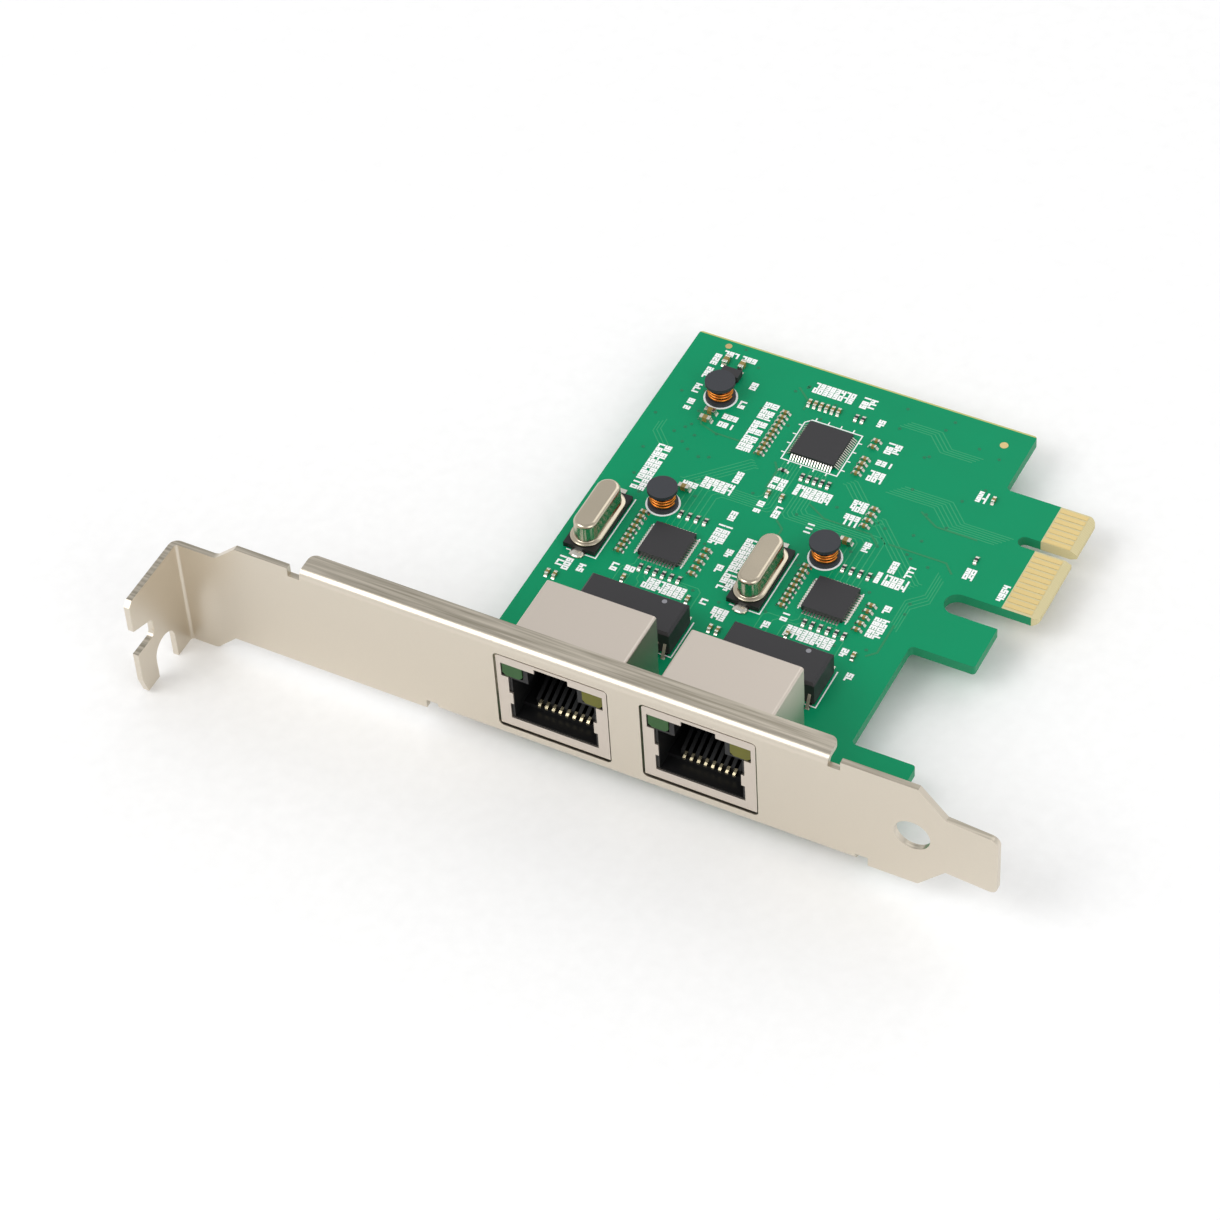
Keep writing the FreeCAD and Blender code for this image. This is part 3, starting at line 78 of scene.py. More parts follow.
class Level(Enum):
    """Heights above the board's upper face, in metres."""

    TRACE = 0.012 * MM
    GAP = 0.017 * MM
    PAD = 0.022 * MM
    FRAME = 0.027 * MM
    INK = 0.032 * MM


def linear(code: str, alpha: float = 1.0) -> tuple[float, float, float, float]:
    """Turn an sRGB hex colour into linear values.

    Args:
        code: Six hexadecimal digits.
        alpha: Opacity to append.

    Returns:
        Red, green, blue and alpha, linear.
    """
    parts = [int(code[place:place + 2], 16) / 255 for place in (0, 2, 4)]
    values = [part / 12.92 if part <= 0.04045 else ((part + 0.055) / 1.055) ** 2.4 for part in parts]
    return (*values, alpha)


def add(tree: bpy.types.NodeTree, kind: str, inputs: dict | None = None,
        **settings: object) -> bpy.types.Node:
    """Add one node to a tree.

    Args:
        tree: Tree that gets the node.
        kind: Blender's name for the node's type.
        inputs: Sockets by name or index, each with a value or a socket to link from.
        settings: Properties of the node.

    Returns:
        The new node.
    """
    node = tree.nodes.new(kind)
    for name, setting in settings.items():
        setattr(node, name, setting)
    for key, item in (inputs or {}).items():
        if isinstance(item, bpy.types.NodeSocket):
            tree.links.new(item, node.inputs[key])
        else:
            node.inputs[key].default_value = item
    return node


def mesh_of(work: bmesh.types.BMesh, name: str) -> bpy.types.Mesh:
    """Turn a work mesh into a named mesh and free it.

    Args:
        work: The work mesh.
        name: Name of the mesh.

    Returns:
        The mesh.
    """
    data = bpy.data.meshes.new(name)
    work.to_mesh(data)
    work.free()
    return data


def stand(name: str, data: bpy.types.ID) -> bpy.types.Object:
    """Make an object at the origin and link it to the scene.

    Args:
        name: Name of the object.
        data: Its mesh, light or camera.

    Returns:
        The object.
    """
    made = bpy.data.objects.new(name, data)
    bpy.context.collection.objects.link(made)
    return made


def seat(made: bpy.types.Object, replaced: tuple[str, ...]) -> bpy.types.Object:
    """Let a finished piece ride on the card, and report it.

    Args:
        made: The piece.
        replaced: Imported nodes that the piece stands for.

    Returns:
        The same object.
    """
    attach(made, "root")
    if replaced:
        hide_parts(*replaced)
    LOG.info("%s: %d faces", made.name, len(made.data.polygons))
    return made


@dataclass(frozen=True)
class Finish:
    """What a surface is made of and how it was made.

    The grain is a noise with cells of size patch, drawn out along X by length. It makes the colour darker
    and lighter by the share tone and raises the surface by relief.
    """

    name: str
    colour: str
    roughness: float = 0.5
    metallic: float = 0.0
    patch: float = 2.0 * MM
    length: float = 1.0
    tone: float = 0.08
    relief: float = 0.0

    def material(self) -> bpy.types.Material:
        """Build the finish, or return it if it exists.

        Returns:
            The material.
        """
        found = bpy.data.materials.get(self.name)
        if found:
            return found
        made = bpy.data.materials.new(self.name)
        made.use_nodes = True
        made.diffuse_color = linear(self.colour)
        tree = made.node_tree
        tree.nodes.clear()
        place = add(tree, "ShaderNodeTexCoord").outputs["Object"]
        shader = add(tree, "ShaderNodeBsdfPrincipled", {
            "Base Color": linear(self.colour), "Roughness": self.roughness, "Metallic": self.metallic})
        self.grain(tree, place, shader)
        add(tree, "ShaderNodeOutputMaterial", {"Surface": shader.outputs["BSDF"]})
        return made

    def grain(self, tree: bpy.types.NodeTree, place: bpy.types.NodeSocket, shader: bpy.types.Node) -> None:
        """Vary colour, roughness and relief by one noise at the size of the grain.

        Args:
            tree: The material's tree.
            place: Object coordinates.
            shader: The principled shader to feed.
        """
        moved = add(tree, "ShaderNodeVectorMath", {0: place, 1: (1 / self.length, 1, 1)},
                    operation="MULTIPLY").outputs[0]
        noise = add(tree, "ShaderNodeTexNoise", {
            "Vector": moved, "Scale": 1 / self.patch, "Detail": 4.0}).outputs["Fac"]
        dark, light = ([min(1, part * (1 + share)) for part in linear(self.colour)[:3]] + [1]
                       for share in (-self.tone, self.tone))
        tint = add(tree, "ShaderNodeMix", {0: noise, 6: dark, 7: light}, data_type="RGBA").outputs[2]
        tree.links.new(tint, shader.inputs["Base Color"])
        rough = add(tree, "ShaderNodeMapRange", {
            "Value": noise, "To Min": max(LEAST_ROUGHNESS, self.roughness * (1 - ROUGHNESS_SPREAD)),
            "To Max": min(1, self.roughness * (1 + ROUGHNESS_SPREAD))})
        tree.links.new(rough.outputs["Result"], shader.inputs["Roughness"])
        if self.relief:
            bump = add(tree, "ShaderNodeBump", {"Height": noise, "Distance": self.relief, "Strength": 1.0})
            tree.links.new(bump.outputs["Normal"], shader.inputs["Normal"])


@dataclass(frozen=True)
class RolledSteel(Finish):
    """Plated sheet metal or wire with fine lines along X, the rolling direction.

    Real rolling lines are about 0.01 mm wide. They are too fine to show and are drawn at 0.06 mm.
    """

    metallic: float = 1.0
    patch: float = 0.06 * MM
    length: float = 8.0
    tone: float = 0.05
    relief: float = 0.0005 * MM


@dataclass(frozen=True)
class FoldedSteel(RolledSteel):
    """Plated sheet with painted shade on the faces that look up, streaked along the die's marks at their real
    0.45 mm.
    """

    mark: float = 0.45 * MM
    mark_length: float = 30.0
    marks_and_painted_shade: str = "8F8878"
    least: float = 0.15
    most: float = 0.75
    sparse: float = 0.35
    dense: float = 0.65
    upward_from: float = 0.8

    def grain(self, tree: bpy.types.NodeTree, place: bpy.types.NodeSocket, shader: bpy.types.Node) -> None:
        """Darken the faces that look up with painted shade, more along the die's long marks; see Finish.grain.
        """
        super().grain(tree, place, shader)
        plain = shader.inputs["Base Color"].links[0].from_socket
        moved = add(tree, "ShaderNodeVectorMath", {0: place, 1: (1 / self.mark_length, 1, 1)},
                    operation="MULTIPLY").outputs[0]
        noise = add(tree, "ShaderNodeTexNoise", {"Vector": moved, "Scale": 1 / self.mark, "Detail": 3.0})
        share = add(tree, "ShaderNodeMapRange", {
            "Value": noise.outputs["Fac"], "From Min": self.sparse, "From Max": self.dense,
            "To Min": self.least, "To Max": self.most}).outputs["Result"]
        facing = add(tree, "ShaderNodeNewGeometry").outputs["Normal"]
        upward = add(tree, "ShaderNodeSeparateXYZ", {0: facing}).outputs["Z"]
        level = add(tree, "ShaderNodeMapRange", {
            "Value": upward, "From Min": self.upward_from, "From Max": 1.0})
        # Painted shade: only faces that look up are darkened, always by at least the least share and more
        # along the marks.
        weight = add(tree, "ShaderNodeMath", {0: share, 1: level.outputs["Result"]}, operation="MULTIPLY")
        tint = add(tree, "ShaderNodeMix", {0: weight.outputs[0], 6: plain, 7: linear(self.marks_and_painted_shade)},
                   data_type="RGBA").outputs[2]
        tree.links.new(tint, shader.inputs["Base Color"])


@dataclass(frozen=True)
class ShadedBehindTips(RolledSteel):
    """Spring wire, bright cream at its front tips, with painted shade behind them: near black, for the shadow
    inside the jack's mouth.
    """

    # Painted shade: the near-black colour of the wires behind the tips.
    painted_shade: str = "0E0D0B"
    shade_from: float = 3.5 * MM

    def grain(self, tree: bpy.types.NodeTree, place: bpy.types.NodeSocket, shader: bpy.types.Node) -> None:
        """Keep the colour near the front and paint shade on what lies behind; see Finish.grain."""
        super().grain(tree, place, shader)
        bright = shader.inputs["Base Color"].links[0].from_socket
        depth = add(tree, "ShaderNodeSeparateXYZ", {0: place}).outputs["Y"]
        # Painted shade: past this depth the wire's colour is mixed to near black.
        behind = add(tree, "ShaderNodeMath", {0: depth, 1: self.shade_from}, operation="GREATER_THAN")
        tint = add(tree, "ShaderNodeMix", {0: behind.outputs[0], 6: bright, 7: linear(self.painted_shade)},
                   data_type="RGBA").outputs[2]
        tree.links.new(tint, shader.inputs["Base Color"])


@dataclass(frozen=True)
class Moulded(Finish):
    """Moulded plastic or epoxy with a fine spark-eroded grain.

    The real grain is about 0.03 mm. It is too fine to show and is drawn at 0.12 mm.
    """

    patch: float = 0.12 * MM
    tone: float = 0.15
    relief: float = 0.004 * MM


@dataclass(frozen=True)
class Lens(Finish):
    """Tinted translucent plastic of a lamp, with faint flow marks."""

    patch: float = 0.8 * MM
    tone: float = 0.12
    passing: float = 0.1
    shine: float = 0.25

    def grain(self, tree: bpy.types.NodeTree, place: bpy.types.NodeSocket, shader: bpy.types.Node) -> None:
        """Let some light through and keep the gloss low; see Finish.grain."""
        super().grain(tree, place, shader)
        shader.inputs["Transmission Weight"].default_value = self.passing
        shader.inputs["Specular IOR Level"].default_value = self.shine


@dataclass(frozen=True)
class Laminate(Finish):
    """Circuit board: solder mask on both faces, bare laminate at the edges and round the contacts.

    The cloth's threads lie 0.5 mm apart, as in real glass laminate.
    """

    patch: float = 6.0 * MM
    tone: float = 0.05
    edge: str = "238A60"
    bare: str = "D9CFA6"
    thread: str = "C9BC8C"
    rim: str = "C3C27C"
    bare_from: float = 100.5 * MM
    bare_low: float = 45.8 * MM
    rim_from: float = 77.05 * MM
    weave: float = 0.5 * MM
    waver: float = 0.6
    shine: float = 0.12
    coat: float = 0.03
    coat_roughness: float = 0.2

    def grain(self, tree: bpy.types.NodeTree, place: bpy.types.NodeSocket, shader: bpy.types.Node) -> None:
        """Mix mask, laminate edge, bare rim and bare connector by place and facing; see Finish.grain."""
        super().grain(tree, place, shader)
        mask = shader.inputs["Base Color"].links[0].from_socket
        split = add(tree, "ShaderNodeSeparateXYZ", {0: place}).outputs
        facing = add(tree, "ShaderNodeNewGeometry").outputs["True Normal"]
        upward = add(tree, "ShaderNodeSeparateXYZ", {0: facing}).outputs["Z"]
        flat = add(tree, "ShaderNodeMath", {0: upward}, operation="ABSOLUTE").outputs[0]
        side = add(tree, "ShaderNodeMath", {0: flat, 1: 0.5}, operation="LESS_THAN").outputs[0]
        limits = (("X", self.bare_from), ("Y", self.bare_low), ("Y", self.rim_from))
        past, above, rim = (
            add(tree, "ShaderNodeMath", {0: split[axis], 1: limit}, operation="GREATER_THAN").outputs[0]
            for axis, limit in limits)
        tip = add(tree, "ShaderNodeMath", {0: past, 1: above}, operation="MULTIPLY").outputs[0]
        wave = add(tree, "ShaderNodeTexWave", {
            "Vector": place, "Scale": 1 / self.weave, "Distortion": self.waver})
        cloth = add(tree, "ShaderNodeMix", {
            0: wave.outputs["Fac"], 6: linear(self.bare), 7: linear(self.thread)}, data_type="RGBA")
        mixed = mask
        for share, colour in ((side, linear(self.edge)), (rim, linear(self.rim)), (tip, cloth.outputs[2])):
            mixed = add(tree, "ShaderNodeMix", {0: share, 6: mixed, 7: colour}, data_type="RGBA").outputs[2]
        tree.links.new(mixed, shader.inputs["Base Color"])
        shader.inputs["Specular IOR Level"].default_value = self.shine
        shader.inputs["Coat Weight"].default_value = self.coat
        shader.inputs["Coat Roughness"].default_value = self.coat_roughness


# Nickel over cold-rolled steel: warm pale grey with a soft sheen, and painted shade on the faces that look up,
# streaked by long die marks on the fold.
STEEL = FoldedSteel("nickel_plated_rolled_steel", "DAD1C2", 0.34)
# Tin over pressed brass: a flat warm grey whose broad sheen mirrors nothing clearly.
SHIELD = RolledSteel("tin_plated_pressed_brass", "D8CEC3", 0.42, patch=0.1 * MM, length=3.0, tone=0.03)
# Drawn nickel steel: smooth and bright, so the green board shows in its sides.
CAN = RolledSteel("drawn_nickel_steel", "C9BEAA", 0.2, patch=5 * MM, length=1.0, tone=0.02, relief=0.0)
# Solder mask on laminate: an even clear green with a dull gloss, cream where the mask stops.
MASK = Laminate("solder_mask_on_glass_laminate", "008F60", 0.42)
# Mask over copper: a little lighter, so that the lines show through.
TRACE = Finish("solder_mask_over_copper", "0B9A64", 0.38)
# Mask where the copper is etched away: a little darker.
GAP = Finish("solder_mask_over_bare_laminate", "03814F", 0.42)
# Mask sunk into a plated hole: a small dark ring.
VIA = Finish("mask_filled_copper_via", "0A6E48", 0.4)
# Screen-printed ink: flat white without shine.
INK = Finish("screen_printed_ink", "FFFFFF", 0.6)
# The same ink worn thin: mid grey.
DOT = Finish("worn_ink_dot", "8A8A90", 0.6)
# Hard gold over nickel: pale straw with a satin sheen.
GOLD = RolledSteel("hard_gold_plating", "D6BF86", 0.3, patch=0.05 * MM)
# Spring bronze: bright cream tips, with painted shade on the wires behind them.
TIPS = ShadedBehindTips("spring_bronze_with_painted_shade", "F2E4BE", 0.25, patch=0.05 * MM)
# Reflowed tin: silvery with a slightly uneven shine.
TIN = RolledSteel("reflowed_tin_solder", "DCD9CF", 0.25, patch=0.2 * MM, length=1.0)
# Moulded nylon: near black with a dull grain, so the jacks' mouths look deep.
BLACK = Moulded("moulded_black_nylon", "09090A", 0.5)
# Moulded epoxy: charcoal with a matte grain.
EPOXY = Moulded("moulded_epoxy", "272629", 0.5)
# Sintered ferrite: slate grey, dry and matte.
FERRITE = Moulded("sintered_ferrite", "303238", 0.6, patch=0.08 * MM)
# Enamelled copper: orange with a gloss that breaks from turn to turn.
COPPER = RolledSteel("enamelled_copper_wire", "E0853A", 0.28, patch=0.5 * MM, length=1.0, tone=0.3)
# Fired ceramic: tan and nearly matte.
CERAMIC = Finish("fired_capacitor_ceramic", "8F7B3E", 0.45)
# Glaze over resistor film: black with a small clear highlight.
GLAZE = Finish("glazed_resistor_film", "1B1C20", 0.3)
# Tinted acrylic of the lamps, unlit: dull green and dull yellow.
GREEN_LENS = Lens("green_tinted_acrylic", "2F5A2B", 0.35)
YELLOW_LENS = Lens("yellow_tinted_acrylic", "66641A", 0.35)
# Zinc over steel: cool bright grey.
ZINC = RolledSteel("zinc_plated_screw_steel", "C9CACB", 0.3)
# Matte paper: plain white without shine.
PAPER = Finish("matte_studio_paper", "FFFFFF", 0.9)

NODE_FINISHES = {
    "bracket": STEEL, "circuit_board": MASK, "edge_contacts_top": GOLD, "edge_contacts_bottom": GOLD,
    "crystal_terminals": TIN, "switch_chip": EPOXY, "switch_chip_leads": TIN, "regulator": EPOXY,
    "regulator_leads": TIN,
    **{f"{part}_{side}": finish for side in SIDES for part, finish in (
        ("jack_shield", SHIELD), ("jack_insert", BLACK), ("spring_carrier", BLACK), ("jack_springs", TIPS),
        ("jack_tails", TIN), ("lamp_green", GREEN_LENS), ("lamp_yellow", YELLOW_LENS), ("transformer", EPOXY),
        ("transformer_leads", TIN), ("crystal_base", BLACK), ("network_chip", EPOXY))},
    **{f"inductor_core_{place}": FERRITE for place in PLACES},
}


@dataclass(frozen=True)
class Box:
    """Axis-aligned box of a node or of one of its solids."""

    low: Vector
    high: Vector

    @classmethod
    def of(cls, node: str) -> "Box":
        """Read a node's box.

        Args:
            node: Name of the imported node.

        Returns:
            Its box.
        """
        low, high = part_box(node)
        return cls(Vector(low), Vector(high))

    @property
    def centre(self) -> Vector:
        """Middle of the box."""
        return (self.low + self.high) / 2

    @property
    def size(self) -> Vector:
        """Edge lengths of the box."""
        return self.high - self.low


def solids_of(node: str) -> list[Box]:
    """Boxes of the separate solids of a node.

    Args:
        node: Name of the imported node.

    Returns:
        One box for each solid, in order of place.
    """
    work = bmesh.new()
    work.from_mesh(bpy.data.objects[node].data)
    bmesh.ops.remove_doubles(work, verts=work.verts, dist=MERGE)
    left = set(work.verts)
    boxes = []
    while left:
        reached = {left.pop()}
        edge = set(reached)
        while edge:
            edge = {other for vertex in edge for link in vertex.link_edges
                    for other in [link.other_vert(vertex)] if other in left}
            left -= edge
            reached |= edge
        places = [vertex.co for vertex in reached]
        boxes.append(Box(Vector([min(place[axis] for place in places) for axis in range(3)]),
                         Vector([max(place[axis] for place in places) for axis in range(3)])))
    work.free()
    return sorted(boxes, key=lambda box: tuple(box.low))


@dataclass
class Piece:
    """Mesh piece of the dressed card, filled with simple closed forms."""

    name: str
    finish: Finish
    slot: str
    mesh: bmesh.types.BMesh = field(default_factory=bmesh.new)

    def bridge(self, first: list[bmesh.types.BMVert], second: list[bmesh.types.BMVert]) -> None:
        """Join two loops of as many corners by a band of faces.

        Args:
            first: Corners of one loop.
            second: Corners of the other, in the same order.
        """
        for index in range(len(first)):
            after = (index + 1) % len(first)
            self.mesh.faces.new((first[index], first[after], second[after], second[index]))

    def prism(self, outline: list[tuple[float, float]], low: float, high: float) -> None:
        """Add an upright prism.

        Args:
            outline: Corners in plan, counter-clockwise.
            low: Height of its lower face.
            high: Height of its upper face.
        """
        rings = [[self.mesh.verts.new((x, y, z)) for x, y in outline] for z in (low, high)]
        self.mesh.faces.new(rings[0][::-1])
        self.mesh.faces.new(rings[1])
        self.bridge(*rings)

    def bar(self, start: Vector, end: Vector, width: float, low: float, high: float,
            reach: float = 0.0) -> None:
        """Add a straight flat bar between two places in plan.

        Args:
            start: One end of its middle line.
            end: The other end.
            width: Width of the bar.
            low: Height of its lower face.
            high: Height of its upper face.
            reach: How far it runs past both ends.
        """
        along = (end - start).normalized()
        across = Vector((-along.y, along.x)) * width / 2
        first, last = start - along * reach, end + along * reach
        corners = (first - across, last - across, last + across, first + across)
        self.prism([tuple(corner[:2]) for corner in corners], low, high)

    def ribbon(self, points: list[Vector], width: float, low: float, high: float,
               closed: bool = False) -> None:
        """Add a flat line of even width with mitred bends.

        Args:
            points: Points in plan.
            width: Width of the line.
            low: Height of its lower face.
            high: Height of its upper face.
            closed: Whether the line returns to its start.
        """
        kept = [point for point, before in zip(points, [None, *points]) if before is None
                or (point - before).length > width / 2]
        count = len(kept)
        spans = count if closed else count - 1
        if spans < 1:
            return
        ways = [(kept[(index + 1) % count] - kept[index]).normalized() for index in range(spans)]
        rings = []
        for index, point in enumerate(kept):
            before = ways[index - 1] if index or closed else ways[0]
            after = ways[index] if index < spans else ways[-1]
            normals = [Vector((-way.y, way.x)) for way in (before, after)]
            mean = (normals[0] + normals[1]).normalized()
            side = mean * width / 2 / max(MITRE_LIMIT, mean.dot(normals[0]))
            rings.append([self.mesh.verts.new((*place, z)) for place, z in (
                (point - side, low), (point + side, low), (point + side, high), (point - side, high))])
        for index in range(spans):
            self.bridge(rings[index], rings[(index + 1) % count])
        if not closed:
            self.mesh.faces.new(rings[0])
            self.mesh.faces.new(rings[-1][::-1])

    def ring(self, centre: Vector, radius: float, width: float, low: float, high: float,
             sides: int = 40) -> None:
        """Add a flat ring, or a disc if its width reaches the middle.

        Args:
            centre: Middle in plan.
            radius: Outer radius.
            width: Width of the ring.
            low: Height of its lower face.
            high: Height of its upper face.
            sides: Number of sides.
        """
        turns = [2 * math.pi * step / sides for step in range(sides)]
        if width >= radius:
            rim = [(centre.x + radius * math.cos(a), centre.y + radius * math.sin(a)) for a in turns]
            self.prism(rim, low, high)
            return
        inner = radius - width
        loops = [[self.mesh.verts.new((centre.x + r * math.cos(a), centre.y + r * math.sin(a), z))
                  for a in turns] for r, z in ((radius, low), (radius, high), (inner, high), (inner, low))]
        for first, second in zip(loops, loops[1:] + loops[:1]):
            self.bridge(first, second)

    def stack(self, outlines: list[tuple[list[tuple[float, float]], float]]) -> None:
        """Add a closed form through outlines of as many corners at rising heights.

        Args:
            outlines: Corners in plan and the height of each outline, from the lowest.
        """
        rings = [[self.mesh.verts.new((x, y, z)) for x, y in corners] for corners, z in outlines]
        for first, second in zip(rings, rings[1:]):
            self.bridge(first, second)
        self.mesh.faces.new(rings[0][::-1])
        self.mesh.faces.new(rings[-1])

    def finish_piece(self, *replaced: str, smooth: bool = False) -> bpy.types.Object:
        """Turn the gathered forms into an object that rides on the card.

        Args:
            replaced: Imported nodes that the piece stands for.
            smooth: Whether its faces are shaded smooth.

        Returns:
            The object.
        """
        bmesh.ops.recalc_face_normals(self.mesh, faces=self.mesh.faces)
        data = mesh_of(self.mesh, self.name)
        data.materials.append(self.finish.material())
        for face in data.polygons:
            face.use_smooth = smooth and len(face.vertices) < 5
        return seat(stand(self.name, data), replaced)


@dataclass(frozen=True)
class Grown:
    """Plain mesh made by a tree of geometry nodes."""

    name: str
    finish: Finish
    slot: str

    def group(self, sockets: dict[str, str]) -> bpy.types.NodeTree:
        """Start a tree with a geometry output and the given inputs.

        Args:
            sockets: Name and socket type of every input.

        Returns:
            The tree.
        """
        made = bpy.data.node_groups.new(f"{self.name}_tree", "GeometryNodeTree")
        for name, kind in sockets.items():
            made.interface.new_socket(name, in_out="INPUT", socket_type=kind)
        made.interface.new_socket("Geometry", in_out="OUTPUT", socket_type="NodeSocketGeometry")
        return made

    def close(self, tree: bpy.types.NodeTree, grown: bpy.types.NodeSocket,
              finish: bpy.types.NodeSocket) -> None:
        """End a tree: real meshes, material, output.

        Args:
            tree: The tree.
            grown: Geometry to give out.
            finish: Material to set on it.
        """
        real = add(tree, "GeometryNodeRealizeInstances", {0: grown}).outputs[0]
        coloured = add(tree, "GeometryNodeSetMaterial", {"Geometry": real, "Material": finish}).outputs[0]
        add(tree, "NodeGroupOutput", {"Geometry": coloured})

    def bake(self, carrier_mesh: bpy.types.Mesh, tree: bpy.types.NodeTree, values: dict[str, object],
             *replaced: str) -> bpy.types.Object:
        """Run a tree on a mesh and keep the result as a plain mesh.

        Args:
            carrier_mesh: Mesh that the tree starts from.
            tree: The tree.
            values: Value of every input but the geometry, by name.
            replaced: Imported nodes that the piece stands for.

        Returns:
            The finished object.
        """
        carrier = stand(f"{self.name}_carrier", carrier_mesh)
        modifier = carrier.modifiers.new("grow", "NODES")
        modifier.node_group = tree
        for socket in tree.interface.items_tree:
            if socket.in_out == "INPUT" and socket.name in values:
                modifier[socket.identifier] = values[socket.name]
        bpy.context.view_layer.update()
        ready = carrier.evaluated_get(bpy.context.evaluated_depsgraph_get())
        result = bpy.data.meshes.new_from_object(ready)
        result.name = self.name
        made = stand(self.name, result)
        bpy.data.objects.remove(carrier)
        return seat(made, replaced)


@dataclass(frozen=True)
class Scatter(Grown):
    """Copies of one form on many points."""

    def tree(self) -> bpy.types.NodeTree:
        """Build the tree: points, instances sized by an attribute.

        Returns:
            The tree, with inputs Geometry, Form and Finish.
        """
        made = self.group({"Geometry": "NodeSocketGeometry", "Form": "NodeSocketObject",
                           "Finish": "NodeSocketMaterial"})
        given = add(made, "NodeGroupInput").outputs
        form = add(made, "GeometryNodeObjectInfo", {"Object": given["Form"]}).outputs["Geometry"]
        size = add(made, "GeometryNodeInputNamedAttribute", {"Name": "size"}, data_type="FLOAT_VECTOR")
        points = add(made, "GeometryNodeMeshToPoints", {"Mesh": given["Geometry"]}).outputs[0]
        placed = add(made, "GeometryNodeInstanceOnPoints", {
            "Points": points, "Instance": form, "Scale": size.outputs["Attribute"]}).outputs[0]
        self.close(made, placed, given["Finish"])
        return made

    def place(self, form: bpy.types.Mesh, points: list[tuple[Vector, Vector]],
              *replaced: str) -> bpy.types.Object:
        """Put the form on every point.

        Args:
            form: Mesh of one copy, about its own origin.
            points: Place and size factors of every copy.
            replaced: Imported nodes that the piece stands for.

        Returns:
            The finished object.
        """
        data = bpy.data.meshes.new(f"{self.name}_points")
        data.from_pydata([tuple(place) for place, _ in points], [], [])
        layer = data.attributes.new("size", "FLOAT_VECTOR", "POINT")
        layer.data.foreach_set("vector", [part for _, size in points for part in size])
        model = stand(f"{self.name}_form", form)
        values = {"Form": model, "Finish": self.finish.material()}
        made = self.bake(data, self.tree(), values, *replaced)
        bpy.data.objects.remove(model)
        return made


@dataclass(frozen=True)
class Coil(Grown):
    """Round wire wound in a helix between two flanges."""

    wire: float = 0.42 * MM
    pitch: float = 0.52 * MM
    sway: float = 0.14 * MM
    seed: float = 7.0
    turn_steps: int = 32
    wire_sides: int = 8

    def tree(self) -> bpy.types.NodeTree:
        """Build the tree: helix, slight disorder of the turns, round wire.

        Returns:
            The tree, with inputs Turns, Radius, Height, Wire, Sway, Seed, Place and Finish.
        """
        numbers = ("Turns", "Radius", "Height", "Wire", "Sway", "Seed")
        made = self.group({**dict.fromkeys(numbers, "NodeSocketFloat"), "Place": "NodeSocketVector",
                           "Finish": "NodeSocketMaterial"})
        given = add(made, "NodeGroupInput").outputs
        helix = add(made, "GeometryNodeCurveSpiral", {
            "Resolution": self.turn_steps, "Rotations": given["Turns"], "Start Radius": given["Radius"],
            "End Radius": given["Radius"], "Height": given["Height"]}).outputs[0]
        noise = add(made, "ShaderNodeTexNoise", {"W": given["Seed"], "Scale": 1 / MM, "Detail": 1.0},
                    noise_dimensions="4D").outputs["Color"]
        level = add(made, "ShaderNodeVectorMath", {0: noise, 1: (0.5, 0.5, 0.5)}, operation="SUBTRACT")
        shift = add(made, "ShaderNodeVectorMath", {0: level.outputs[0], "Scale": given["Sway"]},
                    operation="SCALE").outputs[0]
        loose = add(made, "GeometryNodeSetPosition", {"Geometry": helix, "Offset": shift}).outputs[0]
        section = add(made, "GeometryNodeCurvePrimitiveCircle", {
            "Resolution": self.wire_sides, "Radius": given["Wire"]}).outputs[0]
        swept = add(made, "GeometryNodeCurveToMesh", {
            "Curve": loose, "Profile Curve": section, "Fill Caps": True}).outputs[0]
        moved = add(made, "GeometryNodeTransform", {"Geometry": swept, "Translation": given["Place"]})
        self.close(made, moved.outputs[0], given["Finish"])
        return made

    def wind(self, box: Box, *replaced: str) -> bpy.types.Object:
        """Wind the wire in the space of a packed winding.

        Args:
            box: Box of the winding.
            replaced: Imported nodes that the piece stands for.

        Returns:
            The finished object.
        """
        room = (self.wire + self.sway) / 2
        height = box.size.z - 2 * room
        foot = Vector((box.centre.x, box.centre.y, box.low.z + room))
        values = {"Turns": height / self.pitch, "Radius": box.size.x / 2 - room, "Height": height,
                  "Wire": self.wire / 2, "Sway": self.sway, "Seed": self.seed, "Place": foot,
                  "Finish": self.finish.material()}
        made = self.bake(bpy.data.meshes.new(f"{self.name}_start"), self.tree(), values, *replaced)
        work = bmesh.new()
        work.from_mesh(made.data)
        bmesh.ops.recalc_face_normals(work, faces=work.faces)
        for face in work.faces:
            face.smooth = True
        work.to_mesh(made.data)
        work.free()
        return made


def rounded_block(name: str, bevel: float) -> bpy.types.Mesh:
    """Unit block about the origin with bevelled edges.

    Args:
        name: Name of the mesh.
        bevel: Width of the bevels as a share of the block.

    Returns:
        The mesh.
    """
    work = bmesh.new()
    made = bmesh.ops.create_cube(work, size=1.0)
    edges = list({edge for vertex in made["verts"] for edge in vertex.link_edges})
    bmesh.ops.bevel(work, geom=edges, offset=bevel, segments=2, affect="EDGES", profile=0.5)
    bmesh.ops.recalc_face_normals(work, faces=work.faces)
    return mesh_of(work, name)


